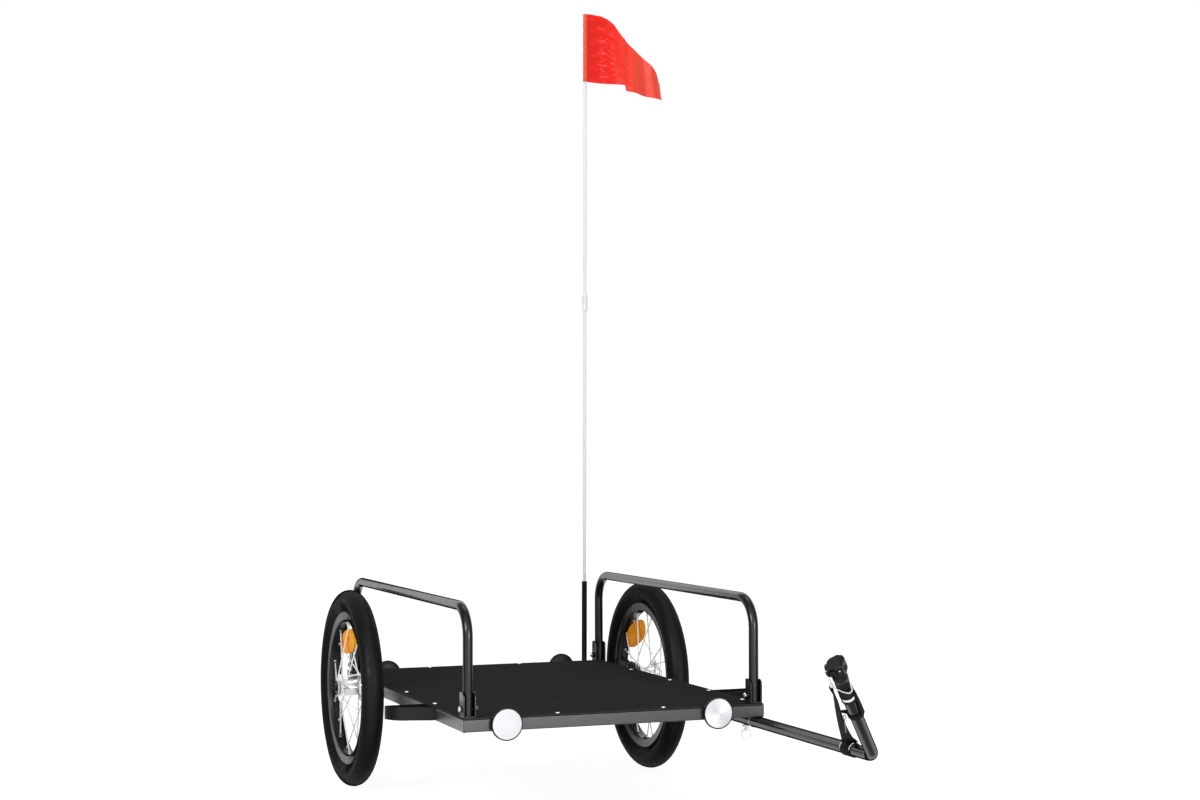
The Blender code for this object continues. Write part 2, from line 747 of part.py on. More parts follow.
def hub_profile():
    bore = AXLE_RADIUS + SLIDE_GAP + BUSH_WALL + GAP
    flange_inner = HUB_HALF_WIDTH - HUB_SHOULDER_LENGTH - HUB_FLANGE_THICKNESS
    flange_outer = HUB_HALF_WIDTH - HUB_SHOULDER_LENGTH
    upper = [
        (bore, HUB_HALF_WIDTH),
        (HUB_SHOULDER_RADIUS, HUB_HALF_WIDTH),
        (HUB_SHOULDER_RADIUS, flange_outer),
        (HUB_FLANGE_RADIUS, flange_outer),
        (HUB_FLANGE_RADIUS, flange_inner),
        (HUB_BARREL_RADIUS, flange_inner - EDGE_CHAMFER),
    ]
    return upper + [(r, -z) for r, z in reversed(upper)]


def spokes_mesh(name):
    """Spokes from both flanges to the rim, leading and trailing in turn, as one mesh of loose rods."""
    shape = bmesh.new()
    count = 2 * SPOKES_PER_FLANGE
    hole_radius = HUB_FLANGE_RADIUS - SPOKE_HOLE_INSET
    rim_reach = RIM_INNER_RADIUS * math.cos(math.pi / WHEEL_STEPS) - GAP
    flange_z = HUB_HALF_WIDTH - HUB_SHOULDER_LENGTH - HUB_FLANGE_THICKNESS / 2
    for index in range(count):
        flange = 1 if index % 2 == 0 else -1
        lead = 1 if (index // 2) % 2 == 0 else -1
        rim_angle = 2 * math.pi * index / count
        hub_angle = rim_angle + lead * SPOKE_LACING
        hub_z = flange * (flange_z + lead * SPOKE_STAGGER)
        start = Vector((hole_radius * math.cos(hub_angle), hole_radius * math.sin(hub_angle), hub_z))
        rim_z = flange * SPOKE_STAGGER
        end = Vector((rim_reach * math.cos(rim_angle), rim_reach * math.sin(rim_angle), rim_z))
        along = end - start
        turn = Vector((0, 0, 1)).rotation_difference(along).to_matrix().to_4x4()
        rod = bmesh.ops.create_cone(
            shape, cap_ends=True, segments=6, radius1=SPOKE_RADIUS, radius2=SPOKE_RADIUS, depth=along.length
        )
        bmesh.ops.transform(shape, matrix=Matrix.Translation((start + end) / 2) @ turn, verts=rod["verts"])
    mesh = bpy.data.meshes.new(name)
    shape.to_mesh(mesh)
    shape.free()
    return bpy.data.objects.new(name, mesh)


def build_wheel(side, outward):
    """Tyre, rim, laced hub, bush and spoke reflector, turning about the carrier's Z axis."""
    spin = empty_at(f"wheel_{side}_spin", (0, 0, 0), outward)
    place(turned_mesh(f"tyre_{side}", tyre_profile(), True, WHEEL_STEPS), "tyre_rubber", spin)
    place(turned_mesh(f"rim_{side}", rim_profile(), True, WHEEL_STEPS), "black_paint", spin)
    hub = turned_mesh(f"hub_spokes_{side}", hub_profile(), True)
    place(hub, "bright_steel", spin)
    spokes = place_cutter(spokes_mesh(f"spokes_{side}"), spin)
    join(hub, spokes)
    bush_bore = AXLE_RADIUS + SLIDE_GAP
    bush_outer = bush_bore + BUSH_WALL
    lip_end = HUB_HALF_WIDTH + GAP + BUSH_LIP_LENGTH
    bush = [
        (bush_bore, lip_end),
        (BUSH_LIP_RADIUS, lip_end),
        (BUSH_LIP_RADIUS, HUB_HALF_WIDTH + GAP),
        (bush_outer, HUB_HALF_WIDTH + GAP),
        (bush_outer, -HUB_HALF_WIDTH),
        (bush_bore, -HUB_HALF_WIDTH),
    ]
    place(turned_mesh(f"hub_bush_{side}", bush, True), "zinc_steel", spin)
    half_length = SPOKE_REFLECTOR_LENGTH / 2
    half_height = SPOKE_REFLECTOR_HEIGHT / 2
    oval = []
    for step in range(SPOKE_REFLECTOR_STEPS):
        angle = 2 * math.pi * step / SPOKE_REFLECTOR_STEPS
        wide = math.copysign(abs(math.cos(angle)) ** SPOKE_REFLECTOR_SQUARENESS, math.cos(angle))
        high = math.copysign(abs(math.sin(angle)) ** SPOKE_REFLECTOR_SQUARENESS, math.sin(angle))
        oval.append((half_height * high, half_length * wide))
    reflector = outline_mesh(f"spoke_reflector_{side}", oval, SPOKE_REFLECTOR_THICKNESS)
    # The carrier's X axis points down on the left wheel and up on the right one.
    rise = -SIDES[side] * SPOKE_REFLECTOR_RISE
    turn = SPOKE_REFLECTOR_TURN[side]
    centre = (rise * math.cos(turn), -rise * math.sin(turn), 0)
    place(reflector, "amber_lens", spin, centre, (0, 0, -turn))


def build_wheel_sides(root):
    for side, sign in SIDES.items():
        build_wheel_guard(side, sign, root)
        build_receiver(side, sign, root)
        turn = Matrix.Rotation(sign * math.pi / 2, 3, "Y")
        outward = empty_at(f"axle_line_{side}", (sign * WHEEL_X, 0, WHEEL_RADIUS), root, turn)
        build_axle(side, outward, root)
        build_wheel(side, outward)


def build_hoop_foot(side, sign, end, root, hoop):
    """The folded bracket that holds one leg of a hoop, open to the front, and the bolt through both."""
    leg_y = HOOP_FRONT_Y if end == "front" else HOOP_REAR_Y
    inner_width = 2 * (HOOP_RADIUS + GAP)
    outer_width = inner_width + 2 * BRACKET_WALL
    name = f"hoop_bracket_{end}_{side}"
    middle_y = leg_y - BRACKET_DEPTH / 2 + HOOP_RADIUS + GAP + BRACKET_WALL
    middle_z = DECK_TOP_Z + GAP + BRACKET_HEIGHT / 2
    bracket = box_mesh(name, (outer_width, BRACKET_DEPTH, BRACKET_HEIGHT))
    place(bracket, "black_paint", root, (sign * HOOP_X, middle_y, middle_z))
    throat = box_mesh(name + "_throat", (inner_width, BRACKET_DEPTH, BRACKET_HEIGHT))
    place_cutter(throat, root, (sign * HOOP_X, middle_y - BRACKET_WALL, middle_z + BRACKET_WALL))
    bolt_place = (sign * HOOP_X, leg_y, HOOP_BOLT_Z)
    hole = drill(root, name + "_hole", HOOP_BOLT_RADIUS + BOLT_GAP, THROUGH, bolt_place, ALONG_X)
    cut(bracket, throat, hole)
    cut(hoop, hole)
    build_hoop_bolt(side, sign, end, root, outer_width, leg_y)


def build_hoop_bolt(side, sign, end, root, grip, leg_y):
    """A button-head bolt from the outside, with its nut on the inner ear."""
    outer = grip / 2 + GAP
    head_top = outer + BOLT_HEAD_LENGTH
    nut_end = -outer - NUT_LENGTH
    dome = [(BOLT_HEAD_RADIUS * wide, outer + BOLT_HEAD_LENGTH * high) for wide, high in BOLT_DOME]
    profile = [
        (0.0, head_top),
        *dome,
        (BOLT_HEAD_RADIUS, outer),
        (HOOP_BOLT_RADIUS, outer),
        (HOOP_BOLT_RADIUS, -outer),
        (NUT_RADIUS, -outer),
        (NUT_RADIUS, nut_end),
        (HOOP_BOLT_RADIUS, nut_end),
        (HOOP_BOLT_RADIUS, nut_end - BOLT_TAIL),
        (0.0, nut_end - BOLT_TAIL),
    ]
    bolt = turned_mesh(f"hoop_bolt_{end}_{side}", profile, False, SMALL_STEPS)
    turn = (0, sign * math.pi / 2, 0)
    place(bolt, "zinc_steel", root, (sign * HOOP_X, leg_y, HOOP_BOLT_Z), turn)


def build_hoops(root):
    for side, sign in SIDES.items():
        x = sign * HOOP_X
        corners = [
            (x, HOOP_FRONT_Y, HOOP_FOOT_Z),
            (x, HOOP_FRONT_Y, HOOP_TOP_Z),
            (x, HOOP_REAR_Y, HOOP_TOP_Z),
            (x, HOOP_REAR_Y, HOOP_FOOT_Z),
        ]
        path = rounded_path(corners, HOOP_BEND_RADIUS)
        hoop = tube_mesh(f"hoop_{side}", path, HOOP_RADIUS, HOOP_BEVEL_STEPS)
        place(hoop, "black_paint", root)
        below = Vector((0, 0, BRACKET_WALL))
        bore_path = [path[0] - below] + path[1:-1] + [path[-1] - below]
        bore = tube_mesh(f"hoop_{side}_bore", bore_path, HOOP_RADIUS - HOOP_WALL, BORE_BEVEL_STEPS)
        place_cutter(bore, root)
        cut(hoop, bore)
        for end in ("front", "rear"):
            build_hoop_foot(side, sign, end, root, hoop)


def build_reflector(name, x, y, facing, lens_material, root):
    """A round cup on the beam's face with its lens; facing is -1 for the front and 1 for the rear."""
    turn = Matrix.Rotation(-facing * math.pi / 2, 3, "X")
    outward = empty_at(f"{name}_seat", (x, y + facing * GAP, REFLECTOR_Z), root, turn)
    inner = REFLECTOR_RADIUS - REFLECTOR_RIM
    cup = [
        (0.0, 0.0),
        (REFLECTOR_RADIUS * REFLECTOR_BACK_SHARE, 0.0),
        (REFLECTOR_RADIUS, REFLECTOR_CHAMFER),
        (REFLECTOR_RADIUS, REFLECTOR_DEPTH),
        (inner, REFLECTOR_DEPTH),
        (inner, REFLECTOR_BACK),
        (0.0, REFLECTOR_BACK),
    ]
    lens_radius = inner - GAP
    lens_back = REFLECTOR_BACK + GAP
    lens = [(lens_radius * wide, REFLECTOR_DEPTH + LENS_CROWN * high) for wide, high in LENS_DOME]
    lens += [
        (lens_radius, REFLECTOR_DEPTH - GAP),
        (lens_radius, lens_back),
        (0.0, lens_back),
    ]
    place(turned_mesh(f"{name}_housing", cup, False, LENS_STEPS), "black_plastic", outward)
    place(turned_mesh(f"{name}_lens", lens, False, LENS_STEPS), lens_material, outward)


def build_reflectors(root):
    for side, sign in SIDES.items():
        front_x = sign * (HALF_WIDTH - FRONT_REFLECTOR_INSET[side])
        rear_x = sign * (HALF_WIDTH - REAR_REFLECTOR_INSET)
        build_reflector(f"front_reflector_{side}", front_x, FRAME_FRONT_Y, -1, "white_lens", root)
        build_reflector(f"rear_reflector_{side}", rear_x, FRAME_REAR_Y, 1, "red_lens", root)


def build_tow_arm(root):
    """The bent tube under the left side beam, its clamp bolt and its lock pin."""
    rise_end = ELBOW + ARM_RISE * ARM_END
    corners = [(ARM_X, ARM_REAR_Y, ARM_Z), tuple(ELBOW), tuple(rise_end)]
    path = rounded_path(corners, ELBOW_BEND_RADIUS)
    arm = tube_mesh("tow_arm", path, ARM_RADIUS, ARM_BEVEL_STEPS)
    place(arm, "black_paint", root)
    bore_path = [path[0] + Vector((0, ARM_RADIUS, 0))] + path[1:-1] + [path[-1] + ARM_RISE * ARM_RADIUS]
    bore = place_cutter(tube_mesh("tow_arm_bore", bore_path, ARM_RADIUS - ARM_WALL, ARM_BEVEL_STEPS), root)
    bolt_hole = drill(root, "arm_bolt_hole", ARM_BOLT_RADIUS + BOLT_GAP, THROUGH, (ARM_X, ARM_BOLT_Y, ARM_Z))
    pin_hole = drill(root, "arm_pin_hole", LOCK_PIN_RADIUS + BOLT_GAP, THROUGH, (ARM_X, LOCK_PIN_Y, ARM_Z))
    cut(arm, bore, bolt_hole, pin_hole)
    under_arm = ARM_Z - ARM_RADIUS - GAP
    nut_floor = FRAME_BOTTOM_Z + BEAM_WALL + GAP
    bolt_profile = [
        (0.0, nut_floor + NUT_LENGTH + BOLT_TAIL),
        (ARM_BOLT_RADIUS, nut_floor + NUT_LENGTH + BOLT_TAIL),
        (ARM_BOLT_RADIUS, nut_floor + NUT_LENGTH),
        (ARM_NUT_RADIUS, nut_floor + NUT_LENGTH),
        (ARM_NUT_RADIUS, nut_floor),
        (ARM_BOLT_RADIUS, nut_floor),
        (ARM_BOLT_RADIUS, under_arm),
        (ARM_BOLT_HEAD_RADIUS, under_arm),
        (ARM_BOLT_HEAD_RADIUS, under_arm - ARM_BOLT_HEAD_LENGTH),
        (0.0, under_arm - ARM_BOLT_HEAD_LENGTH),
    ]
    bolt = turned_mesh("arm_bolt", bolt_profile, False, SMALL_STEPS)
    place(bolt, "zinc_steel", root, (ARM_X, ARM_BOLT_Y, 0))
    build_lock_pin(root, under_arm)


def build_lock_pin(root, under_arm):
    """The pull pin that goes up through the arm into the beam, and the ring it is pulled by."""
    travel = empty_at("lock_pin_travel", (ARM_X, LOCK_PIN_Y, under_arm), root)
    top = FRAME_BOTTOM_Z + LOCK_PIN_TOP_INTO_BEAM - under_arm
    head_bottom = -LOCK_PIN_HEAD_LENGTH
    lug_bottom = head_bottom - LOCK_LUG_LENGTH
    profile = [
        (0.0, top),
        (LOCK_PIN_RADIUS - EDGE_CHAMFER, top),
        (LOCK_PIN_RADIUS, top - 2 * EDGE_CHAMFER),
        (LOCK_PIN_RADIUS, 0.0),
        (LOCK_PIN_HEAD_RADIUS, 0.0),
        (LOCK_PIN_HEAD_RADIUS, head_bottom),
        (LOCK_LUG_RADIUS, head_bottom),
        (LOCK_LUG_RADIUS, lug_bottom),
        (0.0, lug_bottom),
    ]
    pin = turned_mesh("arm_lock_pin", profile, False, SMALL_STEPS)
    place(pin, "zinc_steel", travel)
    hole_z = lug_bottom + LOCK_LUG_HOLE_RADIUS + LOCK_LUG_FLOOR
    hole = drill(travel, "lock_pin_ring_hole", LOCK_LUG_HOLE_RADIUS, THROUGH, (0, 0, hole_z), ALONG_X)
    cut(pin, hole)
    swing = empty_at("pin_ring_swing", (0, 0, hole_z), travel)
    circle = []
    for step in range(ROUND_STEPS):
        angle = 2 * math.pi * step / ROUND_STEPS
        circle.append((RING_RADIUS * math.sin(angle), 0.0, RING_RADIUS * (math.cos(angle) - 1)))
    ring = curve_object("arm_pin_ring", circle, RING_WIRE_RADIUS, WIRE_BEVEL_STEPS)
    ring.data.splines[0].use_cyclic_u = True
    ring.data.use_fill_caps = False
    sag = RING_RADIUS - math.sqrt(RING_RADIUS ** 2 - LOCK_LUG_RADIUS ** 2)
    place(mesh_of(ring), "bright_steel", swing, (0, 0, sag / 2))


def coupler_turn():
    """Local Z runs up the tube, local X lies along the hitch pin."""
    z_axis = ARM_RISE
    x_axis = (COUPLER_PIN_AXIS - z_axis * COUPLER_PIN_AXIS.dot(z_axis)).normalized()
    y_axis = z_axis.cross(x_axis)
    return Matrix((x_axis, y_axis, z_axis)).transposed()


def build_coupler(root):
    """Collar with its ball stud, ribbed boot, swivelling sleeve, hitch pin, head and wire bail."""
    turn = coupler_turn()
    line = empty_at("coupler_line", ELBOW, root, turn)
    plug_radius = flat_radius(ARM_RADIUS - ARM_WALL, ARM_BEVEL_STEPS) - GAP
    collar_start = ARM_END + GAP
    collar_end = collar_start + COLLAR_LENGTH
    profile = [
        (0.0, collar_start - COLLAR_PLUG_LENGTH),
        (plug_radius, collar_start - COLLAR_PLUG_LENGTH),
        (plug_radius, collar_start),
        (COLLAR_RADIUS, collar_start),
        (COLLAR_RADIUS, collar_end),
        (STEM_RADIUS, collar_end),
    ]
    neck_angle = math.asin(STEM_RADIUS / BALL_RADIUS)
    for step in range(6):
        angle = neck_angle + (math.pi - neck_angle) * step / 6
        profile.append((BALL_RADIUS * math.sin(angle), BALL_STATION - BALL_RADIUS * math.cos(angle)))
    profile.append((0.0, BALL_STATION + BALL_RADIUS))
    place(turned_mesh("arm_end_collar", profile, False), "bright_steel", line)
    build_boot(line, collar_end)
    flex = empty_at("coupler_flex", (0, 0, BALL_STATION), line)
    build_sleeve(flex)
    build_head(flex)


def build_boot(line, start):
    """The ribbed rubber boot round the stud, between the collar and the sleeve."""
    bore = STEM_RADIUS + 2 * GAP
    low = start + GAP
    pitch = (BOOT_END - low) / BOOT_RIBS
    outer = []
    for rib in range(BOOT_RIBS):
        outer.append((BOOT_VALLEY, low + rib * pitch))
        outer.append((BOOT_RADIUS, low + (rib + 0.3) * pitch))
        outer.append((BOOT_RADIUS, low + (rib + 0.7) * pitch))
    outer.append((BOOT_VALLEY, BOOT_END))
    throat = BALL_RADIUS + 2 * GAP
    flare_height = math.sqrt(throat ** 2 - bore ** 2)
    inner = []
    for step in range(3):
        height = BOOT_END - (BOOT_END - (BALL_STATION - flare_height)) * step / 2
        inner.append((math.sqrt(throat ** 2 - (BALL_STATION - height) ** 2), height))
    inner[-1] = (bore, BALL_STATION - flare_height)
    inner.append((bore, low))
    place(turned_mesh("flex_boot", outer + inner, True), "black_rubber", line)


def build_sleeve(flex):
    """The sleeve whose socket turns on the ball, with the tongue that carries the hitch pin."""
    top = SLEEVE_END - BALL_STATION
    reach = PIN_STATION - BALL_STATION
    profile = [
        (0.0, top),
        (SLEEVE_RADIUS - 2 * EDGE_CHAMFER, top),
        (SLEEVE_RADIUS, top - 2 * EDGE_CHAMFER),
        (SLEEVE_RADIUS, 0.0),
        (0.0, 0.0),
    ]
    sleeve = turned_mesh("coupler_sleeve", profile, False)
    place(sleeve, "black_plastic", flex)
    socket = place_cutter(sphere_mesh("ball_socket", BALL_RADIUS + SLIDE_GAP * 2), flex)
    half = TONGUE_WIDTH / 2
    outline = [(-half, top - TONGUE_ROOT), (half, top - TONGUE_ROOT)]
    outline += arc_points((0.0, reach), half, 0.0, math.pi, 10)
    tongue = outline_mesh("coupler_tongue", outline, TONGUE_THICKNESS)
    place_cutter(tongue, flex, (0, 0, 0), (math.pi / 2, 0, math.pi / 2))
    pin_room = HITCH_PIN_RADIUS + SLIDE_GAP
    hole = drill(flex, "tongue_hole", pin_room, THROUGH, (0, 0, reach), ALONG_X, ROUND_STEPS)
    cut(sleeve, socket)
    join(sleeve, tongue)
    cut(sleeve, hole)


def build_head(flex):
    """The angular hitch head, which tilts on the hitch pin."""
    pitch = empty_at("head_pitch", (0, 0, PIN_STATION - BALL_STATION), flex)
    height = HEAD_BELOW + HEAD_ABOVE
    middle = (HEAD_ABOVE - HEAD_BELOW) / 2
    head = box_mesh("hitch_head", (HEAD_WIDTH, HEAD_DEPTH, height))
    bevel_edges(head, HEAD_CHAMFER, 1)
    place(head, "black_plastic", pitch, (0, HEAD_OFFSET, middle))
    slant = place_cutter(head_slant_mesh(), pitch, (0, 0, 0), (math.pi / 2, 0, 0))
    slot_width = TONGUE_THICKNESS + 2 * GAP
    slot_top = TONGUE_WIDTH / 2 + 3 * GAP
    slot_height = HEAD_BELOW + slot_top + HEAD_CHAMFER
    slot = box_mesh("head_slot", (slot_width, 2 * HEAD_DEPTH, slot_height))
    place_cutter(slot, pitch, (0, 0, slot_top - slot_height / 2))
    hole = drill(pitch, "head_hole", HITCH_PIN_RADIUS + SLIDE_GAP, THROUGH, (0, 0, 0), ALONG_X, ROUND_STEPS)
    cut(head, slot, hole, slant)
    build_hitch_pin(pitch, flex)


def head_slant_mesh():
    """The wedge that slopes the head's end down to its -X side."""
    low = Vector((-HEAD_WIDTH / 2, HEAD_SLANT_LOW))
    high = Vector((HEAD_SLANT_X, HEAD_ABOVE))
    beyond = (high - low) / 2
    start = low - beyond
    end = high + beyond
    return outline_mesh("head_slant", [tuple(start), tuple(end), (start.x, end.y)], 3 * HEAD_DEPTH)


def build_hitch_pin(pitch, flex):
    """The pin with a flat head at each end, grooved for the bail's two eyes."""
    face = HEAD_WIDTH / 2 + GAP
    eye_room = BAIL_EYE_THICKNESS + 2 * BAIL_EYE_GAP
    groove_end = face + eye_room
    end = groove_end + HITCH_PIN_HEAD_LENGTH
    profile = [
        (0.0, end),
        (HITCH_PIN_HEAD_RADIUS, end),
        (HITCH_PIN_HEAD_RADIUS, groove_end),
        (HITCH_PIN_RADIUS, groove_end),
        (HITCH_PIN_RADIUS, -groove_end),
        (HITCH_PIN_HEAD_RADIUS, -groove_end),
        (HITCH_PIN_HEAD_RADIUS, -end),
        (0.0, -end),
    ]
    station = (0, 0, PIN_STATION - BALL_STATION)
    pin = turned_mesh("hitch_pin", profile, False, PIN_STEPS)
    place(pin, "black_paint", flex, station, ALONG_X)
    swing = empty_at("bail_swing", station, flex)
    build_bail(swing, face + eye_room / 2)


def build_bail(swing, half_width):
    """A U of wire whose thicker eyes go round the pin's ends and whose bow hangs below the sleeve."""
    eye = HITCH_PIN_RADIUS + BAIL_EYE_THICKNESS / 2 + BAIL_EYE_GAP
    down = Vector((0, -math.sin(BAIL_LEAN), -math.cos(BAIL_LEAN)))
    corners = [
        Vector((-half_width, 0, 0)) + down * eye,
        Vector((-half_width, 0, 0)) + down * BAIL_LENGTH * BAIL_SHOULDER,
        Vector((-half_width * BAIL_BOW, 0, 0)) + down * BAIL_LENGTH,
        Vector((half_width * BAIL_BOW, 0, 0)) + down * BAIL_LENGTH,
        Vector((half_width, 0, 0)) + down * BAIL_LENGTH * BAIL_SHOULDER,
        Vector((half_width, 0, 0)) + down * eye,
    ]
    path = rounded_path([tuple(c) for c in corners], BAIL_BEND_RADIUS, 3)
    bail = tube_mesh("pin_bail", path, BAIL_WIRE_RADIUS, WIRE_BEVEL_STEPS)
    place(bail, "bright_steel", swing)
    for label, side in (("a", -1), ("b", 1)):
        circle = []
        for step in range(SMALL_STEPS):
            angle = 2 * math.pi * step / SMALL_STEPS
            circle.append((side * half_width, eye * math.cos(angle), eye * math.sin(angle)))
        loop = curve_object(f"bail_eye_{label}", circle, BAIL_EYE_THICKNESS / 2, WIRE_BEVEL_STEPS)
        loop.data.splines[0].use_cyclic_u = True
        loop.data.use_fill_caps = False
        eye_ring = place_cutter(mesh_of(loop), swing)
        join(bail, eye_ring)


def build_tie(root):
    """The soft band round the rising tube, with a long flap up one side and a pointed tab on the other."""
    line = empty_at("tie_line", ELBOW, root, coupler_turn())
    inner = ARM_RADIUS + GAP
    outer = inner + TIE_THICKNESS
    half = TIE_WIDTH / 2
    band = [(inner, half), (outer, half), (outer, -half), (inner, -half)]
    tie = turned_mesh("tie_band", band, True)
    place(tie, "black_webbing", line, (0, 0, TIE_STATION))
    flap = box_mesh("tie_flap", (TIE_FLAP_THICKNESS, TIE_FLAP_WIDTH, TIE_FLAP_LENGTH))
    flap_x = BOOT_RADIUS + GAP + TIE_FLAP_THICKNESS / 2
    place_cutter(flap, line, (flap_x, 0, TIE_STATION - half + TIE_FLAP_LENGTH / 2))
    point = [(0.0, -half), (0.0, half), (-TIE_TAB_LENGTH, half * 0.3), (-TIE_TAB_LENGTH, 0.0)]
    tab = outline_mesh("tie_tab", point, TIE_FLAP_THICKNESS)
    place_cutter(tab, line, (-inner - TIE_THICKNESS / 2, 0, TIE_STATION), (math.pi / 2, 0, 0))
    join(tie, flap, tab)


def build_strap(root):
    """The webbing safety strap: a flat ribbon down to a loop round the arm's first tube."""
    wrap_inner = ARM_RADIUS + GAP
    wrap_outer = wrap_inner + STRAP_THICKNESS
    half = STRAP_WIDTH / 2
    band = [(wrap_inner, half), (wrap_outer, half), (wrap_outer, -half), (wrap_inner, -half)]
    strap = turned_mesh("safety_strap", band, True)
    place(strap, "black_webbing", root, (ARM_X, STRAP_WRAP_Y, ARM_Z), ALONG_Y)
    ribbon = strap_ribbon("strap_ribbon")
    place_cutter(ribbon, root)
    join(strap, ribbon)


def strap_ribbon(name):
    """A ribbon swept along the strap's route, turning from edge-on at the top to flat at the bottom."""
    points = [ELBOW + Vector(p) for p in STRAP_ROUTE]
    wrap_top = ARM_Z + ARM_RADIUS + GAP + STRAP_THICKNESS / 2
    points.append(Vector((ARM_X - STRAP_END_INSET, STRAP_WRAP_Y, wrap_top)))
    smooth = []
    for index in range(len(points) - 1):
        before = points[max(index - 1, 0)]
        here = points[index]
        after = points[index + 1]
        beyond = points[min(index + 2, len(points) - 1)]
        for step in range(STRAP_STEPS):
            t = step / STRAP_STEPS
            smooth.append(
                0.5
                * (
                    2 * here
                    + (after - before) * t
                    + (2 * before - 5 * here + 4 * after - beyond) * t ** 2
                    + (3 * here - before - 3 * after + beyond) * t ** 3
                )
            )
    smooth.append(points[-1])
    shape = bmesh.new()
    rings = []
    for index, point in enumerate(smooth):
        ahead = smooth[min(index + 1, len(smooth) - 1)] - smooth[max(index - 1, 0)]
        ahead.normalize()
        share = index / (len(smooth) - 1)
        level = Vector((0, 0, 1)).cross(ahead).normalized()
        lean = Matrix.Rotation(STRAP_TWIST * (1 - share) ** 1.5, 3, ahead)
        wide = lean @ level
        thick = ahead.cross(wide).normalized()
        width = STRAP_WIDTH * (STRAP_TOP_SHARE + (1 - STRAP_TOP_SHARE) * share)
        corners = []
        for a, b in ((-1, -1), (1, -1), (1, 1), (-1, 1)):
            corners.append(shape.verts.new(point + wide * a * width / 2 + thick * b * STRAP_THICKNESS / 2))
        rings.append(corners)
    for first, second in zip(rings, rings[1:]):
        for i in range(4):
            shape.faces.new((first[i], first[(i + 1) % 4], second[(i + 1) % 4], second[i]))
    shape.faces.new(rings[0])
    shape.faces.new(rings[-1])
    bmesh.ops.recalc_face_normals(shape, faces=shape.faces)
    mesh = bpy.data.meshes.new(name)
    shape.to_mesh(mesh)
    shape.free()
    return bpy.data.objects.new(name, mesh)


def edge_height(edge, reach):
    """The height of a flag edge at a distance from the pole."""
    for (x0, z0), (x1, z1) in zip(edge, edge[1:]):
        if reach <= x1:
            return z0 + (z1 - z0) * (reach - x0) / (x1 - x0)
    return edge[-1][1]


def flag_fold(reach, drop):
    """How far the cloth stands out of the flag's plane: a deep fold near the middle and lighter ones."""
    share = reach / FLAG_REACH
    turn = 2 * math.pi * share
    deep = MAIN_FOLD * math.sin(MAIN_FOLD_TURNS * turn + MAIN_FOLD_DRIFT * drop) * min(1.0, share * 4)
    return deep + LIGHT_FOLD * math.sin(LIGHT_FOLD_TURNS * turn - LIGHT_FOLD_DRIFT * drop) * share


def flag_sheet(name):
    shape = bmesh.new()
    columns = []
    for column in range(FLAG_COLUMNS):
        start = FLAG_HEM_RADIUS * 0.8
        reach = start + (FLAG_REACH - start) * column / (FLAG_COLUMNS - 1)
        top = edge_height(FLAG_TOP_EDGE, reach)
        bottom = edge_height(FLAG_BOTTOM_EDGE, reach)
        points = []
        for row in range(FLAG_ROWS):
            drop = row / (FLAG_ROWS - 1)
            points.append(shape.verts.new((reach, flag_fold(reach, drop), top + (bottom - top) * drop)))
        columns.append(points)
    for first, second in zip(columns, columns[1:]):
        for row in range(FLAG_ROWS - 1):
            shape.faces.new((first[row], first[row + 1], second[row + 1], second[row]))
    mesh = bpy.data.meshes.new(name)
    shape.to_mesh(mesh)
    shape.free()
    sheet = bpy.data.objects.new(name, mesh)
    cloth = sheet.modifiers.new("cloth", "SOLIDIFY")
    cloth.thickness = FLAG_THICKNESS
    cloth.offset = 0
    return sheet


